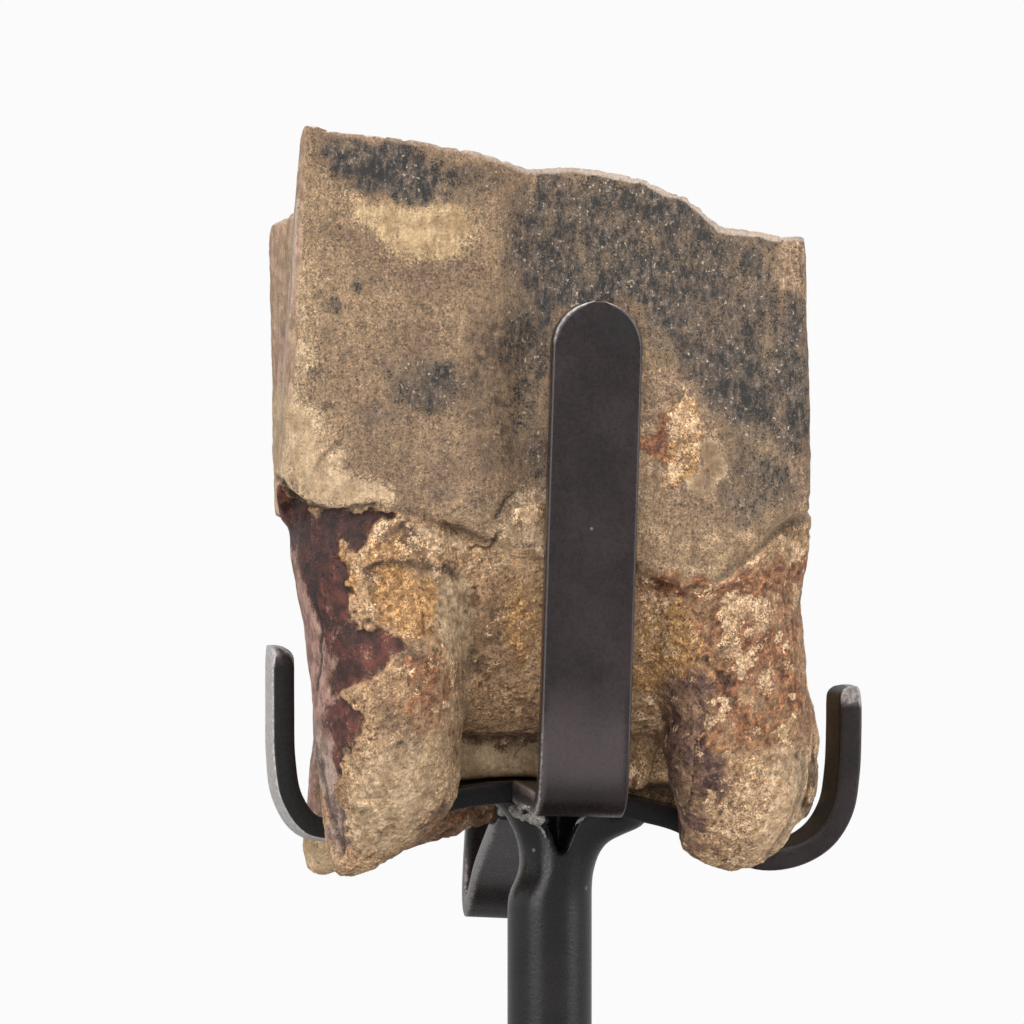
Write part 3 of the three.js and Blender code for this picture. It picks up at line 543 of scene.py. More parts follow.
                    (-10.0, -13.9), (-12.4, -13.5), (-14.4, -12.0), (-15.5, -10.0), (-15.9, -8.1)]),
        (0.8, 0.6, [(-15.9, -3.0), (-13.1, -2.5), (-10.9, -3.6), (-11.1, -5.2), (-14.4, -5.4),
                    (-15.9, -4.8)]),
        (0.95, 0.4, [(-19.6, -3.9), (-18.3, -3.0), (-17.4, -5.2), (-16.8, -7.4), (-17.4, -9.6), (-18.1, -9.1),
                     (-18.1, -6.5), (-18.9, -5.2)]),
        (0.45, 1.6, [(-0.8, -5.2), (0.9, -3.6), (3.6, -5.2), (3.4, -19.4), (1.4, -20.5), (-0.4, -16.1),
                     (-1.3, -10.7)]),
        (0.95, 1.4, [(13.6, -9.2), (19.4, -9.2), (21.0, -15.0), (18.6, -17.4), (16.7, -18.9), (13.6, -18.9)]),
    ],
    "mauve": [
        (0.80, 0.8, [(-23.6, -25.2), (-21.5, -24.8), (-20.2, -33.6), (-23.6, -33.8)]),
        (1.0, 0.5, [(-23.6, -9.0), (-22.0, -9.0), (-20.6, -14.0), (-20.4, -21.0), (-21.4, -26.0),
                    (-24.5, -26.0),
                    (-24.5, -14.0)]),
        (0.95, 0.7, [(-24.8, -0.9), (-19.8, -5.2), (-17.6, -8.5), (-18.7, -13.9), (-20.0, -19.4),
                     (-18.3, -20.7),
                     (-18.5, -27.0), (-19.4, -29.6), (-20.2, -29.8), (-21.1, -24.8), (-21.8, -19.4),
                     (-24.0, -13.9), (-26.1, -8.5), (-26.4, -3.9)]),
    ],
    "purple": [
        (0.80, 1.0, [(18.5, -16.7), (20.5, -16.3), (21.8, -17.7), (21.5, -20.5), (21.8, -24.8), (23.2, -27.0),
                     (24.3, -30.3), (22.9, -31.3), (21.5, -30.3), (20.5, -31.3), (16.5, -31.0), (15.4, -26.0),
                     (15.0, -22.0), (16.5, -19.5)]),
        (0.58, 0.9, [(16.5, -31.0), (21.0, -30.8), (21.8, -34.6), (20.5, -36.8), (18.6, -35.6),
                     (17.0, -33.0)]),
        (0.55, 0.8, [(30.6, -20.5), (32.0, -19.4), (32.4, -22.6), (31.3, -24.3)]),
    ],
    "maroon": [
        (1.0, 0.8, [(-26.0, 1.5), (-22.6, 0.7), (-19.8, 0.2), (-17.4, 0.2), (-14.4, 0.4), (-12.5, 0.7),
                     (-13.1, -0.2), (-14.8, -1.3), (-15.7, -3.0), (-17.0, -3.6), (-18.1, -3.0), (-18.7, -4.4),
                     (-18.1, -6.1), (-17.4, -8.5), (-17.6, -10.2), (-18.1, -12.0), (-19.8, -13.3),
                     (-20.6, -13.5),
                     (-21.6, -11.3), (-22.4, -8.5), (-23.3, -5.2), (-24.3, -2.0)]),
        (1.0, 0.9, [(-20.2, -13.9), (-19.4, -12.6), (-17.4, -12.2), (-15.9, -11.8), (-13.9, -12.6),
                     (-13.1, -13.5), (-11.6, -14.1), (-12.2, -15.0), (-13.3, -15.7), (-14.4, -17.0),
                     (-15.3, -18.3), (-17.4, -19.2), (-18.7, -20.0), (-19.8, -20.5), (-20.2, -17.8)]),
        (1.0, 0.9, [(-20.0, -21.1), (-18.9, -20.5), (-17.4, -20.7), (-16.3, -21.8), (-16.1, -23.1),
                    (-16.9, -24.6), (-17.6, -26.1), (-18.7, -28.3), (-19.4, -28.9), (-19.8, -27.6),
                    (-20.2, -25.2)]),
        (0.58, 0.9, [(22.2, -17.2), (24.1, -17.0), (24.5, -18.7), (23.3, -19.8), (22.0, -18.9)]),
        (1.0, 0.4, [(-28.5, 5.2), (-25.9, 4.2), (-24.6, 2.8), (-22.6, 1.4), (-23.0, -2.0), (-26.0, -2.0),
                    (-28.5, -1.0)]),
    ],
    "dark_maroon": [
        (0.66, 1.3, [(-26.0, 1.6), (-20.0, 0.4), (-15.6, 0.2), (-16.2, -2.4), (-18.4, -2.8), (-18.9, -6.0),
                     (-20.0, -9.0), (-22.0, -8.0), (-24.0, -4.0)]),
        (0.50, 1.0, [(-19.6, -12.8), (-15.0, -12.2), (-14.0, -14.4), (-16.5, -16.6), (-19.6, -15.8)]),
    ],
    "pink": [
        (1.0, 0.5, [(-21.8, -20.5), (-20.7, -24.6), (-19.6, -25.4), (-18.9, -30.3), (-18.1, -32.6),
                    (-17.8, -35.7), (-18.5, -37.7), (-19.2, -36.2), (-20.0, -31.3), (-22.3, -27.0)]),
    ],
}

# Raised and sunken places on the cheek side: height, softness, outline.
SWELLS = [
    (-0.50, 0.6, [(-15.2, -6.5), (-12.4, -5.9), (-9.1, -6.7), (-7.2, -7.8), (-6.5, -10.2), (-7.4, -12.8),
                  (-10.0, -13.9), (-12.4, -13.5), (-14.4, -12.0), (-15.5, -10.0), (-15.9, -8.1)]),
    (0.35, 1.0, [(-16.0, -0.9), (-12.2, 0.4), (-7.8, -0.9), (-4.6, -3.6), (-6.2, -5.9), (-8.9, -5.2),
                 (-12.2, -4.8), (-15.2, -5.2)]),
    (0.45, 0.7, [(-1.6, -1.4), (0.0, 1.3), (2.5, 1.6), (3.6, -0.9), (3.0, -3.6), (0.3, -4.1)]),
    (0.40, 2.2, [(-13.0, -15.0), (-8.5, -14.0), (-6.0, -18.0), (-7.0, -27.0), (-12.0, -33.0), (-16.0, -33.0),
                 (-15.0, -24.0)]),
    (0.30, 1.0, [(13.6, -9.0), (17.2, -8.6), (18.6, -13.0), (17.6, -18.0), (14.0, -19.0)]),
    (0.35, 1.4, [(22.0, -9.0), (27.0, -8.4), (28.6, -12.5), (25.0, -16.0), (22.0, -14.6)]),
]

# Cracks, grooves and one ridge on the cheek side: half width, depth, darkness, line. The darkness drawn along
# the neck step and the shelf lines is painted shadow under their edges.
GROOVES = {
    # Painted shadow under the enamel's overhanging lower edge.
    "neck_step": (0.30, 0.30, 0.60, [(-25.7, 4.0), (-24.9, 2.9), (-23.9, 1.7), (-22.5, 0.9), (-20.9, 0.4),
                                     (-18.2, 0.2), (-15.2, 0.7)]),
    "diagonal": (0.34, 0.07, 0.34, [(-21.4, 4.6), (-20.7, 5.9), (-19.6, 7.1), (-18.6, 8.1)]),
    # The shelf lines' darkness is painted shade along the step.
    "shelf": (0.50, 0.16, 0.28, [(-15.9, -6.3), (-13.5, -5.4), (-10.7, -5.7), (-8.1, -6.1), (-6.3, -6.7)]),
    "shelf_side": (0.40, 0.16, 0.28, [(-15.9, -6.3), (-15.5, -8.1), (-15.2, -10.0)]),
    "margin_crack": (0.16, 0.22, 0.85, [(-21.3, -10.2), (-20.8, -12.8), (-20.8, -15.6), (-21.1, -19.4)]),
    "facet_edge": (0.22, 0.20, 0.5, [(-21.2, -25.0), (-20.4, -29.2), (-19.7, -32.6), (-18.7, -37.4)]),
    "spike": (0.34, 0.40, 0.55, [(-18.9, -32.0), (-18.7, -34.6), (-18.6, -37.4)]),
    "neck_nick": (0.22, 0.30, 0.65, [(-4.8, -3.7), (-3.5, -3.4), (-2.4, -3.6), (-1.6, -2.8), (-1.4, -2.0)]),
    "knob_side": (0.25, 0.30, 0.50, [(-1.7, -0.6), (-0.9, 0.9), (0.2, 2.2)]),
    "crest_hairline": (0.14, 0.08, 0.5, [(-7.2, 36.6), (-4.6, 36.3), (-0.8, 35.9)]),
    "rust_gap": (0.25, 0.25, 0.50, [(19.4, -16.0), (20.9, -15.8), (22.3, -17.4), (23.0, -19.6),
                                    (24.3, -21.0)]),
    "root_ridge": (0.30, -0.20, 0.0, [(32.2, -25.6), (32.4, -28.5), (32.2, -31.0), (31.4, -34.0),
                                      (30.0, -36.8)]),
    "root_fold": (0.30, 0.25, 0.35, [(31.6, -26.0), (31.3, -30.5), (29.8, -34.5), (27.6, -37.4)]),
}

# The crown's front corner, a thin pale edge of enamel where the cheek wall turns away.
ENAMEL_CORNER = [(-23.2, 34.0), (-23.4, 32.3), (-24.1, 23.0), (-24.8, 14.4), (-25.4, 7.8)]

# How far the rear of the neck and crown stand out, by height above the hub.
REAR_NECK_SHIFT = [
    (22.0, 0.0), (24.0, 0.25), (26.0, 0.35), (29.2, 0.32), (29.9, 0.05), (30.6, 0.28), (31.2, 1.15),
    (32.1, 0.25), (33.5, -0.20), (38.0, 0.05),
]

# The floor between the roots is moved back and towards the cheek at its rear end.
FLOOR_END_SHIFT = np.array([1.1, -2.2, 0.0])

# The even skin: face size, and rounds of smoothing on each part of it.
VOXEL = 0.65
ROOT_SMOOTHING = 12
CROWN_SMOOTHING = 2
CREST_SMOOTHING = 14
NECK_SMOOTHING = 45

# Finer faces lie on the cheek side of this y, where they turn to the viewer this much.
CHEEK_HALF = -6.0
TURNED_TO_VIEWER = 0.2

# The cheek wall proper lies outside this y.
CHEEK_WALL = -13.0


def rebuild_evenly(piece, voxel):
    """Replaces a piece's mesh with one skin of small even faces round all of it."""
    remesh = piece.modifiers.new("even faces", "REMESH")
    remesh.mode = "VOXEL"
    remesh.voxel_size = voxel * MM
    bpy.context.view_layer.update()
    graph = bpy.context.evaluated_depsgraph_get()
    even = bpy.data.meshes.new_from_object(piece.evaluated_get(graph))
    piece.modifiers.clear()
    piece.data = even


def even_copy(node, name, voxel):
    """A copy of a CAD solid's skin, rebuilt from small even faces."""
    skin = bmesh.new()
    skin.from_mesh(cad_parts[node].data)
    bmesh.ops.remove_doubles(skin, verts=skin.verts, dist=0.001 * MM)
    mesh = bpy.data.meshes.new(name)
    skin.to_mesh(mesh)
    skin.free()
    piece = new_object(name, mesh)
    rebuild_evenly(piece, voxel)
    return piece


def enamel_edge(x, y):
    """Height above the hub at which the enamel ends, round the whole crown."""
    turned = profile([(-26.0, 6.0), (-21.0, 17.0)], x)
    cheek = smoothstep(turned, turned + 4.0, -y)
    return FAR_ENAMEL_EDGE + cheek * (profile(CHEEK_ENAMEL_EDGE, x) - FAR_ENAMEL_EDGE)


def points_of(mesh):
    flat = np.empty(len(mesh.vertices) * 3)
    mesh.vertices.foreach_get("co", flat)
    return flat.reshape(-1, 3) / MM


def normals_of(mesh):
    flat = np.empty(len(mesh.vertices) * 3)
    mesh.vertex_normals.foreach_get("vector", flat)
    return flat.reshape(-1, 3)


def neighbour_mean(mesh, values, rounds=1):
    """Each point's value averaged with those next to it along the mesh."""
    ends = np.empty(len(mesh.edges) * 2, int)
    mesh.edges.foreach_get("vertices", ends)
    first, second = ends.reshape(-1, 2).T
    count = np.bincount(first, minlength=len(values)) + np.bincount(second, minlength=len(values))
    for _ in range(rounds):
        total = (np.bincount(first, values[second], len(values))
                 + np.bincount(second, values[first], len(values)))
        values = 0.5 * values + 0.5 * total / count
    return values


def move_points(mesh, points):
    mesh.vertices.foreach_set("co", (points * MM).ravel())
    mesh.update()


def relax(skin, verts, factor, rounds=1):
    """Draws each point towards the middle of those next to it."""
    for _ in range(rounds):
        bmesh.ops.smooth_vert(skin, verts=verts, factor=factor,
                              use_axis_x=True, use_axis_y=True, use_axis_z=True)


def refine_cheek_side(piece):
    """Smooths the even skin and halves the faces on the side that faces the viewer."""
    skin = bmesh.new()
    skin.from_mesh(piece.data)
    roots = [v for v in skin.verts
             if v.co.z / MM - HUB_HEIGHT < enamel_edge(v.co.x / MM, v.co.y / MM) - 1.0]
    relax(skin, roots, 0.5, ROOT_SMOOTHING)
    relax(skin, skin.verts, 0.5, CROWN_SMOOTHING)
    skin.normal_update()
    viewer = Vector(TO_VIEWER)
    facing = [f for f in skin.faces if f.normal.dot(viewer) > TURNED_TO_VIEWER
              and f.calc_center_median().y < CHEEK_HALF * MM]
    edges = list({edge for face in facing for edge in face.edges})
    bmesh.ops.subdivide_edges(skin, edges=edges, cuts=1, use_grid_fill=True)
    relax(skin, skin.verts, 0.4)
    skin.to_mesh(piece.data)
    skin.free()


def true_up_crest(piece):
    """Brings the cheek wall's crest, which the even faces leave stepped, onto its line."""
    mesh = piece.data
    points = points_of(mesh)
    across, above, nearer = sheet_place(points)
    outer = points[:, 1] < CHEEK_WALL
    along_crest = smoothstep(2.2, 0.8, np.abs(profile(CREST, across) - above)) * outer
    softened = neighbour_mean(mesh, points[:, 2], CREST_SMOOTHING)
    points[:, 2] += along_crest * (softened - points[:, 2])
    across, above, nearer = sheet_place(points)
    stations = np.arange(-23.0, 31.6, 0.3)
    ridge = np.array([above[outer & (np.abs(across - s) < 0.45)].max() for s in stations])
    wanted = np.mean([profile(CREST, stations + d) for d in (-0.6, 0.0, 0.6)], 0)
    lift = np.interp(across, stations, wanted - ridge) / nearer
    depth = np.interp(across, stations, ridge) - above
    points[:, 2] += lift * smoothstep(5.0, 0.6, depth) * smoothstep(-8.0, -14.0, points[:, 1])
    move_points(mesh, points)


def lap_rear_neck(piece):
    """Softens the step below the enamel towards the rear, where crust laps over its edge."""
    mesh = piece.data
    points = points_of(mesh)
    x, y, z = points.T
    from_edge = np.abs(z - HUB_HEIGHT - enamel_edge(x, y))
    lapped = smoothstep(13.0, 17.0, x) * smoothstep(2.8, 1.4, from_edge) * smoothstep(10.0, 4.0, y)
    soft = np.stack([neighbour_mean(mesh, points[:, i], NECK_SMOOTHING) for i in range(3)], 1)
    points += lapped[:, None] * (soft - points)
    move_points(mesh, points)


def local_shifts(points):
    """Places where the skin stands off the plain CAD solid: the blind pocket between the
    roots, the rear root's inner flank, the rear of the neck and the crown's slanting rim."""
    x, y = points[:, 0], points[:, 1]
    z = points[:, 2] - HUB_HEIGHT
    shift = np.zeros(points.shape)
    pocket = smoothstep(8.4, 9.8, x) * smoothstep(16.4, 15.6, x) * smoothstep(-4.5, -2.5, z)
    pocket *= smoothstep(10.0, 9.0, z) * smoothstep(12.5, 11.5, y)
    pocket_wall = profile([(0.8, 5.6), (2.0, -2.0)], z)
    shift[:, 1] -= 0.95 * pocket * np.maximum(y - pocket_wall, 0.0)
    flank = smoothstep(17.5, 12.5, x) * smoothstep(8.5, 9.8, x) * smoothstep(-6.0, -11.0, y)
    shift[:, 0] -= flank * profile([(-6.0, 0.0), (-3.0, 0.5), (1.0, 1.0), (7.5, 1.0), (9.5, 0.0)], z)
    rear = smoothstep(23.2, 25.0, x) * smoothstep(10.0, 4.0, y)
    shift[:, 0] += rear * profile(REAR_NECK_SHIFT, z)
    rim = smoothstep(-24.0, -27.0, x) * smoothstep(57.0, 61.0, z) * smoothstep(-14.0, -12.5, y)
    shift[:, 2] += rim * profile([(-14.0, 0.8), (-4.0, 0.3), (8.0, -0.3)], y)
    return shift


def carve_tooth(piece):
    """Works the tooth's relief and stains into its skin."""
    mesh = piece.data
    points = points_of(mesh)
    normals = normals_of(mesh)
    x, y = points[:, 0], points[:, 1]
    z = points[:, 2] - HUB_HEIGHT
    facing = smoothstep(-0.25, 0.05, normals @ TO_VIEWER)

    across, above, _ = sheet_place(points)
    stray_broad = lumps(points, 2.4, 3)
    stray_fine = lumps(points, 0.9, 2, shift=7.3)
    a = across + 0.9 * stray_broad + 0.35 * stray_fine
    b = above + 0.9 * lumps(points, 2.4, 3, shift=31.7) + 0.35 * lumps(points, 0.9, 2, shift=43.1)

    crown = smoothstep(-0.25, 0.25, z - enamel_edge(x, y))
    worn = smoothstep(0.5, 0.8, normals[:, 2]) * smoothstep(40.0, 44.0, z) * crown
    wall = crown * (1.0 - worn)
    root = 1.0 - crown

    masks = {}
    for name, patches in PATCHES.items():
        total = np.zeros(len(points))
        for strength, soft, outline in patches:
            inside = smoothstep(soft, -soft, outline_distance(a, b, outline))
            total = np.maximum(total, strength * inside)
        masks[name] = total * facing

    # The sides that the outlines don't reach carry the same stains, scattered.
    away = 1.0 - facing
    drift = lumps(points, 11.0, 3, shift=3.9)
    drift_b = lumps(points, 8.0, 3, shift=17.2)
    drift_c = lumps(points, 14.0, 2, (1.0, 1.0, 1.6), shift=51.4)
    front_end = smoothstep(0.2, 0.7, -normals[:, 0])
    scattered = {
        "slate": wall * smoothstep(0.05, 0.40, drift_c + 0.10),
        "yellow": wall * smoothstep(0.12, 0.40, drift_b),
        "pale": wall * smoothstep(9.0, 2.0, z - enamel_edge(x, y)) * smoothstep(-0.1, 0.3, drift),
        "umber": wall * smoothstep(0.05, 0.4, -drift_b) * 0.7,
        "brown": root * smoothstep(0.10, 0.45, -drift_c),
        "mauve": root * smoothstep(0.0, 0.35, 0.25 * front_end + drift_b),
        "purple": root * smoothstep(0.22, 0.45, drift_b),
        "rust": root * smoothstep(0.10, 0.40, drift - 0.3 * front_end),
        "ochre": root * smoothstep(0.05, 0.35, -drift),
        "maroon": root * smoothstep(0.22, 0.34, 0.20 * front_end - drift_b),
        "cream": root * smoothstep(0.15, 0.35, drift_c) * 0.8,
    }
    for name, spread in scattered.items():
        masks[name] = np.maximum(masks[name], away * spread)
    for name in ("purple", "maroon", "dark_maroon", "pink", "brown", "mauve"):
        masks[name] = masks[name] * root
    for name in ("slate", "yellow", "grey_green"):
        masks[name] = masks[name] * crown
    front_wall = wall * smoothstep(0.55, 0.85, -normals[:, 0])
    masks["pale"] = np.maximum(masks["pale"], 0.75 * front_wall)
    masks["mauve"] = np.maximum(masks["mauve"], 0.42 * front_wall * smoothstep(9.0, 16.0, above))

    # Pale and dark scabs, thickest on the rear root.
    scabby = root * facing * profile([(-20.0, 0.45), (-3.0, 0.45), (6.0, 0.95)], x)
    scabby *= 1.0 - np.clip(masks["maroon"] + masks["mauve"] + masks["pink"], 0.0, 1.0)
    pale_scabs = smoothstep(0.18, 0.36, lumps(points, 1.7, 4, shift=71.3))
    dark_scabs = smoothstep(0.16, 0.38, lumps(points, 1.6, 4, shift=88.8))
    pale_scabs *= (1.0 - 0.7 * masks["purple"]) * (1.0 - 0.6 * smoothstep(0.62, 0.85, masks["rust"]))
    masks["cream"] = np.maximum(masks["cream"], 0.8 * scabby * pale_scabs)
    masks["brown"] = np.maximum(masks["brown"], 0.6 * scabby * dark_scabs * (1.0 - 0.7 * masks["ochre"]))

    # The blind pocket between the roots takes the cream crust tone at full strength: its pale crust, lifted
    # further as painted light against the shade it lies in.
    in_pocket = root * smoothstep(7.5, 9.5, x) * smoothstep(17.0, 15.5, x) * smoothstep(-9.0, -6.0, y)
    in_pocket *= smoothstep(13.0, 11.0, y) * smoothstep(-5.0, -3.0, z) * smoothstep(9.5, 8.5, z)
    masks["cream"] = np.maximum(masks["cream"], in_pocket)

    # Bare dentine is smooth; everything else on the roots wears a granular crust.
    bare = np.clip(masks["maroon"] + 0.8 * masks["mauve"] + masks["pink"], 0.0, 1.0)
    lesion = masks["cream"] * crown
    crust = np.clip(root * (1.0 - bare) + lesion, 0.0, 1.0)
    in_cradle = smoothstep(6.5, 5.2, np.abs(y)) * smoothstep(9.0, 5.0, z)
    crust *= 1.0 - 0.85 * in_cradle

    coarse = grains(points, 1.5)
    fine = grains(points, 0.8, 11.0)
    upright = lumps(points, 0.55, 2, (1.0, 1.0, 8.0))
    fibres = lumps(points, 0.9, 3, (1.0, 1.0, 6.0), shift=5.0)
    swell = lumps(points, 6.0, 2, shift=23.0)

    relief = 0.20 * root
    rough_grain = lumps(points, 0.5, 3, shift=81.0)
    relief += crust * (0.06 + 0.06 * coarse + 0.10 * fine + 0.10 * stray_fine + 0.12 * stray_broad
                       + 0.12 * rough_grain)
    turned_away = smoothstep(0.15, 0.55, normals @ TO_VIEWER)
    sunk = smoothstep(0.35, 0.60, bare + 0.14 * stray_fine) * root * turned_away
    lip = smoothstep(0.12, 0.35, bare) * (1.0 - sunk) * root * turned_away
    relief += sunk * (-0.42) + 0.12 * lip + bare * root * 0.07 * fibres
    below_neck = enamel_edge(x, y) - z
    rear_side = smoothstep(22.0, 25.0, x) * smoothstep(10.0, 0.0, y)
    flush = (smoothstep(-15.5, -11.0, x) * smoothstep(7.0, 0.5, below_neck) * root
             * np.maximum(facing, rear_side))
    relief += (0.55 + 0.35 * smoothstep(20.0, 24.0, x)) * flush
    rear_flank = (smoothstep(22.0, 26.0, x) * smoothstep(5.5, 7.5, y) * smoothstep(3.0, 6.0, z)
                  * smoothstep(20.0, 14.0, z))
    relief += 0.8 * rear_flank * smoothstep(0.0, 0.5, normals[:, 0])
    for height, soft, outline in SWELLS:
        relief += height * smoothstep(soft, -soft, outline_distance(a, b, outline)) * facing
    under_crest = profile(CREST, across) - above
    below_crest = smoothstep(0.2, 2.2, under_crest)
    relief += wall * below_crest * (0.06 * upright + 0.05 * stray_fine + 0.04 * fine)
    relief += wall * 0.10 * swell
    relief += lesion * 0.25
    relief += 0.10 * root * swell
    relief += masks["grey_green"] * 0.12

    crack_and_painted_shadow = np.zeros(len(points))
    # Each groove is cut into the skin; its darkness is the dark fill of a crack, and painted shadow along the
    # neck step and shelf lines.
    for half_width, depth, darkness, line in GROOVES.values():
        away_from = line_distance(across + 0.22 * stray_broad,
                                  above + 0.2 * stray_fine + 0.2 * stray_broad, line)
        cut = smoothstep(half_width * 1.9, 0.0, away_from) * facing
        relief -= depth * cut
        crack_and_painted_shadow = np.maximum(crack_and_painted_shadow, darkness * smoothstep(half_width, half_width * 0.35, away_from) * facing)

    # Long fine cracks of the dried roots and the fibrous floor between them.
    seam = np.abs(lumps(points, 3.4, 3, (1.0, 1.0, 6.0), shift=63.0))
    split = smoothstep(0.025, 0.0, seam) * root * smoothstep(0.0, 0.3, drift_b)
    relief -= 0.12 * split
    crack_and_painted_shadow = np.maximum(crack_and_painted_shadow, 0.45 * split)
    between_roots = root * smoothstep(-13.0, -10.0, x) * smoothstep(12.0, 8.0, x) * smoothstep(12.5, 9.0, z)
    shreds = lumps(points, 0.9, 3, (5.0, 1.0, 1.0), shift=9.0)
    fibrous = between_roots * smoothstep(3.0, 5.0, y)
    relief += fibrous * 0.45 * shreds
    masks["brown"] = np.maximum(masks["brown"], 0.55 * fibrous * smoothstep(0.05, 0.35, shreds))

    # The grinding surface: dentine worn hollow inside a standing rim of enamel.
    near_wall = neighbour_mean(mesh, (wall > 0.5).astype(float), 9)
    rim = worn * smoothstep(0.04, 0.16, near_wall)
    dentine = worn * (1.0 - rim)
    relief += worn * (0.12 * rim - 0.35 * dentine + 0.04 * stray_broad)
    crest = smoothstep(1.15, 0.35, under_crest + 0.25 * stray_broad) * smoothstep(-14.0, -18.0, y)
    crest *= profile([(-23.0, 0.25), (-14.0, 0.45), (0.0, 0.6), (8.0, 1.0)], across)
    corner = smoothstep(0.32, 0.08, line_distance(across, above, ENAMEL_CORNER))
    corner *= smoothstep(0.10, 0.30, normals @ TO_VIEWER)
    rim = np.maximum(np.maximum(rim, crest * crown), 0.9 * corner * crown)
    relief += 0.15 * corner * crown

    shift = relief * (1.0 - 0.7 * in_cradle)
    points = points + normals * shift[:, None]
    floor_end = (smoothstep(4.0, 8.5, x) * smoothstep(13.4, 12.4, x) * smoothstep(13.5, 10.5, z)
                 * smoothstep(3.0, 0.0, y))
    points += floor_end[:, None] * FLOOR_END_SHIFT
    points += local_shifts(points)
    move_points(mesh, points)

    smooth = np.stack([neighbour_mean(mesh, points[:, i], 3) for i in range(3)], 1)
    cavity = np.sum((points - smooth) * normals_of(mesh), 1)
    cavity = np.clip(cavity / 0.10, -1.0, 1.0)

    values = dict(masks, crown=crown, dentine=dentine, rim=rim, granular=crust, cavity=cavity, crack_and_painted_shadow=crack_and_painted_shadow)
    for name, value in values.items():
        mesh.attributes.new(name, "FLOAT", "POINT").data.foreach_set("value", value)


def make_tooth(material):
    tooth = even_copy("tooth", "fossil_tooth", VOXEL)
    refine_cheek_side(tooth)
    lap_rear_neck(tooth)
    true_up_crest(tooth)
    carve_tooth(tooth)
    true_up_crest(tooth)
    finish_piece(tooth, material, "fossil_tooth", "tooth")


# ---- The stand --------------------------------------------------------------------------

BAR_WIDTH = 9.5
BAR_THICKNESS = 2.4
BAR_CORNER = 0.3
CRADLE_END_CORNER = 2.2
EASED_END = 1.3
ROD_RADIUS = 4.6

# The rod's flared top is sunk into the cradle, has a notch in front down to this height
# above the hub, and a fillet of paint at its foot.
SUNK_IN_CRADLE = 0.4
NOTCH_FOOT = -5.2
FOOT_FILLET = 0.8

BASE_SIZE = 80.0
BASE_THICKNESS = 6.0
BASE_CORNER = 3.0
BASE_EDGE = 0.6
BASE_BORDER = 0.8

CRADLE_LINE = [
    (-29.5, 17.0), (-29.5, 10.5), (-29.4, 4.8), (-28.7, 0.6), (-26.5, -2.5), (-22.4, -2.9), (-16.5, -1.5),
    (-10.6, 0.5), (-5.0, 1.2), (0.0, 1.0), (4.5, 0.2), (9.0, -0.8), (13.4, -2.0), (18.5, -4.7), (22.6, -6.3),
    (26.6, -5.9), (29.7, -4.1), (31.6, -1.1), (32.3, 2.8), (32.5, 7.5), (32.5, 12.3),
]
FRONT_ARM_LINE = [
    (5.05, 1.2), (12, 1.2), (19, 1.2), (23.7, 1.25), (25.95, 2.6), (26.6, 5.5), (26.6, 12), (26.6, 24),
    (26.6, 36), (26.6, 48), (26.6, 54.2),
]
BACK_ARM_LINE = [
    (5.05, -1.5), (12, -4.4), (19, -7.4), (25, -10.4), (29, -13.4), (31.6, -14.6), (33.7, -13.4), (34.4, -10),
    (34.0, -4), (32.6, 6), (30.6, 16), (29.2, 25), (28.8, 33),
]


def smooth_line(points, per_span=30):
    """The centripetal curve through a bar's bend points, as many close points."""
    p = np.array(points, float)
    p = np.vstack([2 * p[0] - p[1], p, 2 * p[-1] - p[-2]])
    pieces = []
    for before, start, end, after in zip(p, p[1:], p[2:], p[3:]):
        spans = (start, before), (end, start), (after, end)
        t0, t1, t2 = (math.sqrt(np.linalg.norm(q - r)) for q, r in spans)
        leave = ((start - before) / t0 - (end - before) / (t0 + t1) + (end - start) / t1) * t1
        arrive = ((end - start) / t1 - (after - start) / (t1 + t2) + (after - end) / t2) * t1
        s = np.linspace(0, 1, per_span, endpoint=False)[:, None]
        pieces.append(
            (2 * s**3 - 3 * s**2 + 1) * start + (s**3 - 2 * s**2 + s) * leave
            + (3 * s**2 - 2 * s**3) * end + (s**3 - s**2) * arrive
        )
    return np.vstack(pieces + [p[-2:-1]])


def bar_section(half_width, at_end):
    """Half widths and half thicknesses round a bar's rounded section, with its edge wear."""
    corner = min(BAR_CORNER * (1.0 + 0.8 * at_end), 0.35 * half_width)
    hold = half_width - min(0.9, 0.4 * half_width)
    half = BAR_THICKNESS / 2
    inner = 0.29 * corner
    quarter = [
        (hold, half, 0.0), (half_width - corner, half, 0.45), (half_width - inner, half - inner, 1.0),
        (half_width, half - corner, 0.45), (half_width, 0.0, 0.0),
    ]
    section = []
    for across, thick in ((1, 1), (1, -1), (-1, -1), (-1, 1)):
        corner_points = [(across * u, thick * v, w) for u, v, w in quarter]
        section += corner_points if across == thick else corner_points[-2::-1]
    return section


def loft(name, rings, wear):
    """A closed solid, extruded from its first ring through each of the others."""
    solid = bmesh.new()
    edge = solid.verts.layers.float.new("edge")
    face = solid.faces.new([solid.verts.new(p) for p in rings[0]])
    for vert, value in zip(face.verts, wear[0]):
        vert[edge] = value
    for ring, values in zip(rings[1:], wear[1:]):
        grown = bmesh.ops.extrude_face_region(solid, geom=[face])["geom"]
        if len(solid.faces) > len(ring) + 2:
            bmesh.ops.delete(solid, geom=[face], context="FACES_ONLY")
        face = next(item for item in grown if isinstance(item, bmesh.types.BMFace))
        for vert, point, value in zip(face.verts, ring, values):
            vert.co = point
            vert[edge] = value
    bmesh.ops.recalc_face_normals(solid, faces=solid.faces)
    mesh = bpy.data.meshes.new(name)
    solid.to_mesh(mesh)
    solid.free()
    return new_object(name, mesh)


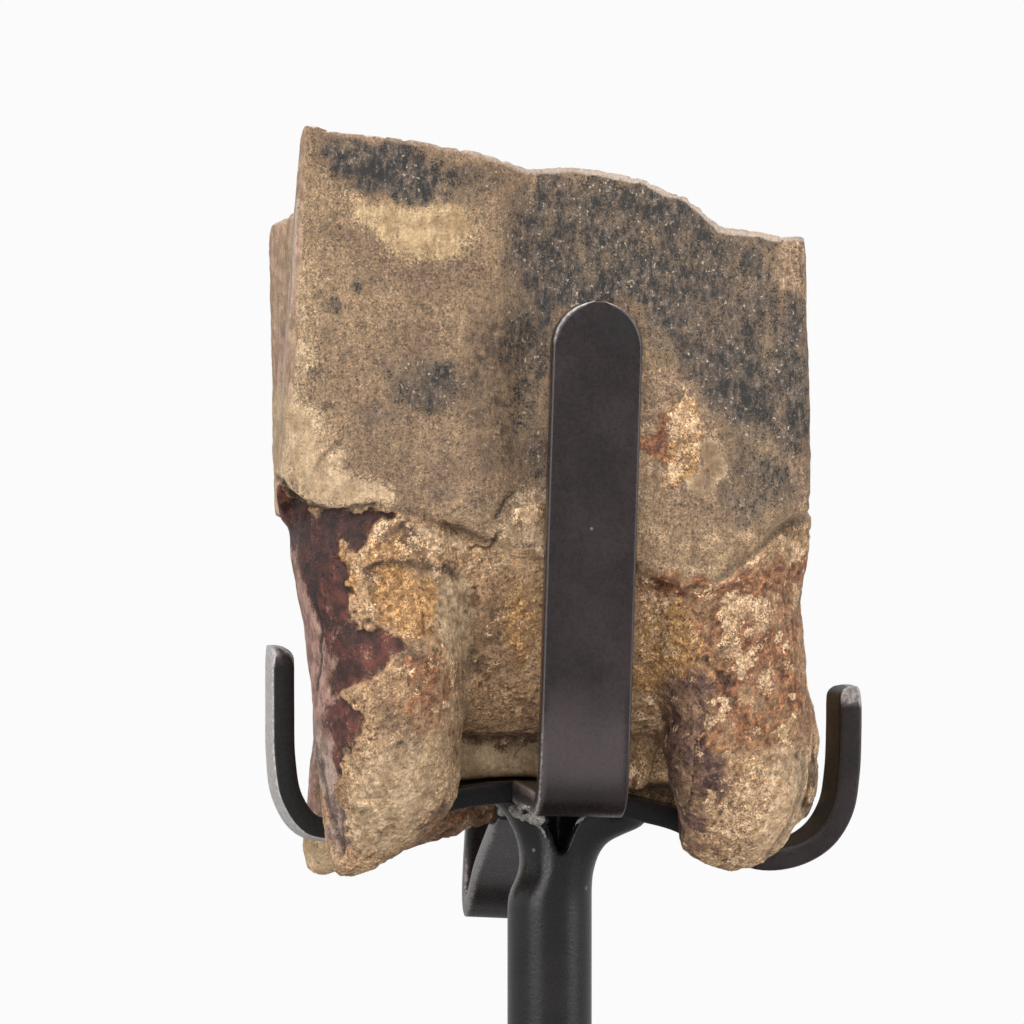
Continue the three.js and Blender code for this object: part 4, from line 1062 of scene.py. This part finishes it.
def bent_bar(name, line, place, round_start=True, roll=lambda share: 0.0, rub=lambda share, u, v: 0.0,
             stations=150, end_corner=BAR_WIDTH / 2, eased=0.0):
    """A flat bar bent along a line, with ends where the blank was cut round: `end_corner` is
    the corner's radius and `eased` that of the inner edge.  `roll` turns its section and
    `rub` adds wear, by the share of its length."""
    close = smooth_line(line)
    lengths = np.concatenate([[0], np.cumsum(np.linalg.norm(np.diff(close, axis=0), axis=1))])
    length = lengths[-1]
    radius = BAR_WIDTH / 2
    blunt_end = 0.12
    rings, wear = [], []
    for even in np.linspace(0, 1, stations):
        share = 0.35 * even + 0.65 * (1 - math.cos(math.pi * even)) / 2
        run = share * length
        centre = np.array([np.interp(run, lengths, close[:, i]) for i in (0, 1)])
        ahead = np.array([np.interp(min(run + 0.2, length), lengths, close[:, i]) for i in (0, 1)])
        behind = np.array([np.interp(max(run - 0.2, 0), lengths, close[:, i]) for i in (0, 1)])
        along = Vector((ahead[0] - behind[0], 0, ahead[1] - behind[1])).normalized()
        turn = Matrix.Rotation(roll(share), 3, along)
        across = turn @ Vector((0, 1, 0))
        normal = turn @ Vector((-along.z, 0, along.x))
        to_end = min(run, length - run) if round_start else length - run
        nearest = min(to_end / end_corner, 1.0)
        half_width = max(blunt_end * radius, radius - end_corner * (1 - math.sqrt(1 - (1 - nearest) ** 2)))
        ease = eased * (1 - math.sqrt(1 - (1 - min(to_end / eased, 1.0)) ** 2)) if eased else 0.0
        middle = Vector((centre[0], 0, centre[1]))
        at_end = max(0.0, 1.0 - nearest) ** 0.5
        section = bar_section(half_width, at_end)
        cut = [(u, v - ease * (v / BAR_THICKNESS + 0.5)) for u, v, _ in section]
        rings.append([place @ ((middle + across * u + normal * v) * MM) for u, v in cut])
        wear.append([w * (0.55 + 1.1 * at_end) + rub(share, u, v) for u, v, w in section])
    return loft(name, rings, wear)


HUB = Matrix.Translation((0, 0, HUB_HEIGHT * MM))


def hook_roll(share):
    """The front hook was bent a little out of true."""
    return -0.12 * math.exp(-(((share - 0.27) / 0.09) ** 2))


def front_hook_rub(share, u, v):
    """The front hook's outer face has been handled until the steel shows through, the tip of
    the rear hook is filed, and the narrow near side and the rear hook's inside are matt and
    darkened as painted shade."""
    outer_face = float(smoothstep(0.36, 0.28, share)) * (v < -1.0)
    front_tip = float(smoothstep(0.014, 0.005, share)) * (v < 1.0)
    middle = 1.0 if abs(v) < 0.3 else 0.35 if abs(v) < 1.0 else 0.0
    rear_tip = float(smoothstep(0.974, 0.986, share)) * (u < -0.5) * middle
    # The narrow near side and the hook's inside get negative values: matt paint darkened as painted shade.
    near_side = (float(smoothstep(0.74, 0.66, share) * smoothstep(0.006, 0.018, share))
                 * (u < -2.0 and abs(v) < 1.0))
    inside = float(smoothstep(0.70, 0.76, share)) * (v > 1.15)
    return 1.3 * outer_face + 0.5 * front_tip + 1.0 * rear_tip - 1.1 * near_side - 1.1 * inside


def front_arm_rub(share, u, v):
    """The upright's round end is worn more on its left edge than on its right, its left edge
    is frayed above the foot and rubbed along it, and the face above the bend carries a pale
    film that is a painted reflection of the floor."""
    round_end = -0.45 * float(smoothstep(0.90, 0.96, share)) * (u > 2.0)
    frayed = 0.42 * float(smoothstep(0.44, 0.34, share)) + 0.24 * float(smoothstep(0.32, 0.26, share))
    # Painted reflection of the floor: a pale film on the face above the bend.
    painted_floor_reflection = 0.54 * float(smoothstep(0.56, 0.36, share) * smoothstep(0.26, 0.33, share)) * (abs(u) < 4.0)
    return round_end + frayed * (u < -4.0) + painted_floor_reflection


def back_arm_rub(share, u, v):
    """The rear arm is scraped along both edges of its left side, down to its lower bend."""
    scraped = float(smoothstep(0.02, 0.08, share) * smoothstep(0.50, 0.44, share))
    return (0.62 if abs(v) > 0.3 else 0.30) * scraped * (u > 4.4)


def make_bars(material):
    front = HUB @ Matrix.Rotation(math.radians(1.75), 4, "Y") @ Matrix.Rotation(-math.pi / 2, 4, "Z")
    back = (HUB @ Matrix.Translation((-0.2 * MM, 0, 0)) @ Matrix.Rotation(math.radians(3), 4, "Y")
            @ Matrix.Rotation(math.pi / 2, 4, "Z"))
    cradle = bent_bar("lacquered_cradle", CRADLE_LINE, HUB, roll=hook_roll, rub=front_hook_rub, stations=190,
                      end_corner=CRADLE_END_CORNER, eased=EASED_END)
    finish_piece(cradle, material, "black_steel", "cradle_strip")
    front_arm = bent_bar("lacquered_front_arm", FRONT_ARM_LINE, front, round_start=False, rub=front_arm_rub)
    finish_piece(front_arm, material, "black_steel", "front_arm")
    back_arm = bent_bar("lacquered_back_arm", BACK_ARM_LINE, back, round_start=False, rub=back_arm_rub)
    finish_piece(back_arm, material, "black_steel", "back_arm")


def ground_profile(pairs, z):
    """A profile whose corners have been ground round."""
    return np.mean([profile(pairs, z + d) for d in np.linspace(-1.1, 1.1, 9)])


def make_post(material):
    """The rod, with the weld at its top drawn out under the cradle and dressed smooth, and a painted
    highlight of grey steel down the left and right flanks of its top.
    """
    front_side = [(-11.5, -ROD_RADIUS), (-11, -ROD_RADIUS), (-9.9, -4.4), (-7.8, -3.3), (-5.2, -3.3),
                  (-2.7, -4.4), (-1.2, -5.6), (-0.3, -7.2)]
    rear_side = [(-11.5, ROD_RADIUS), (-9, ROD_RADIUS), (-7.4, 4.8), (-5, 5.7), (-3.6, 7.1), (-2.5, 9.2),
                 (-0.3, 11)]
    depth = [(-11.5, ROD_RADIUS), (-8, ROD_RADIUS), (-5, 4.5), (-0.3, 4.5)]
    under = smooth_line(CRADLE_LINE)
    foot = BASE_THICKNESS - HUB_HEIGHT
    heights = [foot, foot + 0.3, foot + FOOT_FILLET]
    heights += list(np.linspace(foot + 1.2, -12, 12)) + list(np.arange(-11.5, -0.2, 0.4))
    around = 96
    rings, wear = [], []
    for z in heights:
        x0, x1, half = (ground_profile(side, z) for side in (front_side, rear_side, depth))
        fillet = FOOT_FILLET * max(0.0, 1.0 - (z - foot) / FOOT_FILLET) ** 2
        ring, values = [], []
        for turn in np.linspace(0, 2 * math.pi, around, endpoint=False):
            px = (x0 + x1) / 2 + ((x1 - x0) / 2 + fillet) * math.sin(turn)
            py = -(half + fillet) * math.cos(turn)
            rise = float(smoothstep(-7.0, -0.3, z))
            top = np.interp(px, under[:, 0], under[:, 1]) - BAR_THICKNESS / 2 + SUNK_IN_CRADLE
            pz = z + rise * (top + 0.3)
            notch_half = 0.4 + 0.42 * (z - NOTCH_FOOT)
            if z > NOTCH_FOOT and py < 0:
                py += 3.6 * max(0.0, 1.0 - abs(px - 0.8) / notch_half) ** 0.6
            ring.append(Vector((px, py, pz + HUB_HEIGHT)) * MM)
            # Painted highlight: grey steel down the left and right flanks of the top, where the side lights
            # catch its outline.
            flank = abs(math.sin(turn)) ** 10 * float(smoothstep(-11.0, -9.0, z))
            values.append(0.95 * flank)
        rings.append(ring)
        wear.append(values)
    post = loft("lacquered_post", rings, wear)
    finish_piece(post, material, "black_steel", "post")


# Weld runs at the hub, each a line of beads: x, y, height above the hub, radius.
WELD_RUNS = [
    [(-4.6, -5.0, -0.5, 0.7), (-4.1, -6.4, -0.7, 0.9), (-3.4, -8.0, -0.8, 1.0), (-2.3, -8.4, -1.2, 1.0),
     (-1.5, -7.0, -1.7, 0.6)],
    [(-4.0, -9.4, -0.1, 0.7), (-4.5, -12.0, 0.3, 0.5), (-4.7, -16.0, 0.5, 0.35), (-4.7, -20.0, 0.7, 0.3)],
    [(4.7, -5.0, 0.3, 0.6), (4.7, -6.4, 0.3, 0.5), (4.7, -8.0, 0.4, 0.35)],
    [(-3.4, -4.8, -0.9, 0.45), (-2.6, -4.7, -1.4, 0.35), (-1.4, -4.5, -2.8, 0.25), (-0.9, -4.4, -3.8, 0.2)],
    [(4.6, -4.6, -1.0, 0.35), (3.4, -4.7, -1.3, 0.3), (2.5, -4.6, -2.0, 0.25), (1.9, -4.5, -2.9, 0.2)],
    [(-4.4, 5.0, -1.4, 0.9), (-2.2, 5.0, -1.6, 1.0), (0.0, 5.0, -1.7, 1.0), (2.2, 5.0, -1.9, 1.0),
     (4.2, 5.0, -2.2, 0.9)],
]
WELD_VOXEL = 0.22
WELD_SMOOTHING = 3
WELD_RELIEF = 0.22


def make_welds(material):
    """Beads of weld metal, melted together into one lumpy skin and filed, with grey steel set on the faces
    turned to the front and left as a painted highlight.
    """
    beads = bmesh.new()
    for run in WELD_RUNS:
        for (x0, y0, z0, r0), (x1, y1, z1, r1) in zip(run, run[1:] + run[-1:]):
            for share in (0.0, 0.34, 0.67):
                centre = Vector((x0, y0, z0)).lerp(Vector((x1, y1, z1)), share)
                radius = r0 + (r1 - r0) * share
                place = Matrix.Translation((centre + Vector((0, 0, HUB_HEIGHT))) * MM)
                bmesh.ops.create_icosphere(beads, subdivisions=2, radius=radius * MM, matrix=place)
    mesh = bpy.data.meshes.new("hub_weld")
    beads.to_mesh(mesh)
    beads.free()
    weld = new_object("hub_weld", mesh)
    rebuild_evenly(weld, WELD_VOXEL)
    melted = weld.data
    skin = bmesh.new()
    skin.from_mesh(melted)
    relax(skin, skin.verts, 0.5, WELD_SMOOTHING)
    skin.to_mesh(melted)
    skin.free()
    points, normals = points_of(melted), normals_of(melted)
    points += normals * (WELD_RELIEF * lumps(points, 0.8, 4))[:, None]
    melted.vertices.foreach_set("co", (points * MM).ravel())
    # Grey filed steel on the faces turned to the front and left, which is also a painted highlight on the
    # side that the light falls on.
    filed_and_painted_highlight = smoothstep(0.1, 0.9, -normals[:, 1] * 0.8 - normals[:, 0] * 0.6 + 0.2)
    melted.attributes.new("edge", "FLOAT", "POINT").data.foreach_set("value", filed_and_painted_highlight)
    finish_piece(weld, material, "black_steel")


def make_base(material):
    """The square plate, its corners rounded and its edges softened by the paint."""
    plate = bmesh.new()
    middle = Matrix.Translation((0, 0, BASE_THICKNESS / 2 * MM))
    size = Matrix.Diagonal((BASE_SIZE * MM, BASE_SIZE * MM, BASE_THICKNESS * MM, 1))
    bmesh.ops.create_cube(plate, size=1.0, matrix=middle @ size)
    upright = [e for e in plate.edges if abs(e.verts[0].co.z - e.verts[1].co.z) > MM]
    bmesh.ops.bevel(plate, geom=upright, offset=BASE_CORNER * MM, offset_type="OFFSET", segments=8,
                    profile=0.5, affect="EDGES", material=-1)
    edge = plate.verts.layers.float.new("edge")
    flat = [f for f in plate.faces if abs(f.normal.z) > 0.9]
    outline = list({e for f in flat for e in f.edges})
    rounded = bmesh.ops.bevel(plate, geom=outline, offset=BASE_EDGE * MM, offset_type="OFFSET", segments=4,
                              profile=0.5, affect="EDGES", material=-1)
    for vert in rounded["verts"]:
        near = min(abs(vert.co.z), abs(vert.co.z - BASE_THICKNESS * MM)) / MM
        vert[edge] = 0.66 if 0.02 < near < 0.5 else 0.0
    for face in [f for f in plate.faces if abs(f.normal.z) > 0.99]:
        bmesh.ops.inset_region(plate, faces=[face], thickness=BASE_BORDER * MM)
        for vert in face.verts:
            vert[edge] = 0.0
    mesh = bpy.data.meshes.new("lacquered_base")
    plate.to_mesh(mesh)
    plate.free()
    base = new_object("lacquered_base", mesh)
    finish_piece(base, material, "black_steel", "base_plate")


# ---- Studio -----------------------------------------------------------------------------

# Brightness of the white surroundings as a light and as mirrored in the lacquer, where the
# side of the room that the viewer stands on is darker.
AMBIENT = 0.42
MIRRORED_SIDES = 0.75
MIRRORED_FRONT = 0.27
MIRRORED_FLOOR = 0.52
SOFTBOXES = [
    ("left softbox", (-0.74, -0.70, 0.35), (0.6, 0.9), 5.1, True),
    ("right softbox", (0.85, -0.50, 0.35), (0.5, 0.9), 4.0, True),
    ("top softbox", (-0.05, -0.15, 1.0), (0.8, 0.8), 4.6, True),
    ("front fill", (0.10, -1.35, 0.95), (0.9, 0.9), 4.9, True),
    ("low front fill", (-0.16, -1.35, 0.16), (0.5, 0.25), 3.3, False),
]
LIGHTS_AIM = Vector((0, -0.01, 0.095))
FLOOR_REACH = 12.0
NEAREST_SEEN = 0.01


def make_studio():
    floor_mesh = bpy.data.meshes.new("studio_floor")
    sheet = bmesh.new()
    bmesh.ops.create_grid(sheet, x_segments=1, y_segments=1, size=FLOOR_REACH)
    sheet.to_mesh(floor_mesh)
    sheet.free()
    floor = new_object("studio_floor", floor_mesh)
    material, tree = new_material("matt white paper")
    place = add(tree, "ShaderNodeTexCoord", output=3)
    far = between(tree, add(tree, "ShaderNodeVectorMath", {"operation": "LENGTH"}, {0: place}, 1), 0.12, 0.32)
    glossy = add(tree, "ShaderNodeLightPath", output="Is Glossy Ray")
    white = blend(tree, glossy, linear("#f1f1f1"), linear("#9a9a9a"))
    paper = add(tree, "ShaderNodeBsdfDiffuse", {}, {0: white})
    shade = arithmetic(tree, "MULTIPLY_ADD", glossy, MIRRORED_FLOOR - 1.0, 1.0)
    glow = add(tree, "ShaderNodeEmission", {}, {0: linear("#fbfbfb"), 1: shade})
    surface = add(tree, "ShaderNodeMixShader", {}, {0: far, 1: paper, 2: glow})
    add(tree, "ShaderNodeOutputMaterial", {}, {0: surface})
    floor.data.materials.append(material)

    world = bpy.data.worlds.new("pale studio")
    world.use_nodes = True
    tree = world.node_tree
    tree.nodes.clear()
    seen = add(tree, "ShaderNodeLightPath", output="Is Camera Ray")
    mirrored = add(tree, "ShaderNodeLightPath", output="Is Glossy Ray")
    direction = add(tree, "ShaderNodeTexCoord", output=0)
    toward_viewer = add(tree, "ShaderNodeVectorMath", {"operation": "DOT_PRODUCT"},
                        {0: direction, 1: TO_VIEWER.tolist()}, 1)
    room = between(tree, toward_viewer, 0.25, 0.9, MIRRORED_SIDES, MIRRORED_FRONT)
    strength = arithmetic(tree, "MULTIPLY", mirrored, arithmetic(tree, "SUBTRACT", room, AMBIENT))
    strength = arithmetic(tree, "ADD", strength, AMBIENT)
    strength = arithmetic(tree, "MULTIPLY_ADD", seen, 1.0 - AMBIENT, strength)
    sky = add(tree, "ShaderNodeBackground", {}, {0: linear("#fbfbfb"), 1: strength})
    add(tree, "ShaderNodeOutputWorld", {}, {0: sky})
    bpy.context.scene.world = world

    for name, place, size, watts, mirrored in SOFTBOXES:
        light = bpy.data.lights.new(name, "AREA")
        light.shape = "RECTANGLE"
        light.size, light.size_y = size
        light.energy = watts
        lamp = bpy.data.objects.new(name, light)
        lamp.location = place
        lamp.visible_glossy = mirrored
        aim = LIGHTS_AIM - Vector(place)
        lamp.rotation_euler = aim.to_track_quat("-Z", "Y").to_euler()
        bpy.context.scene.collection.objects.link(lamp)

    camera_data = bpy.data.cameras.new("display view")
    camera_data.lens = LENS
    camera_data.sensor_width = SENSOR
    camera_data.clip_start = NEAREST_SEEN
    camera = bpy.data.objects.new("display view", camera_data)
    camera.location = (SIGHT_POINT + TO_VIEWER * SIGHT_DISTANCE) * MM
    camera.rotation_euler = Vector(-TO_VIEWER).to_track_quat("-Z", "Y").to_euler()
    bpy.context.scene.collection.objects.link(camera)
    bpy.context.scene.camera = camera
    bpy.context.scene.view_settings.view_transform = "Standard"


make_studio()
bar_lacquer = black_lacquer_material("satin black lacquer on flat bar", "#1e1516", "#2a1f20")
rod_lacquer = black_lacquer_material("satin black lacquer on round rod", "#100d0e", "#191516")
make_bars(bar_lacquer)
make_post(rod_lacquer)
make_welds(ground_weld_material())
make_base(rod_lacquer)
make_tooth(fossil_tooth_material())
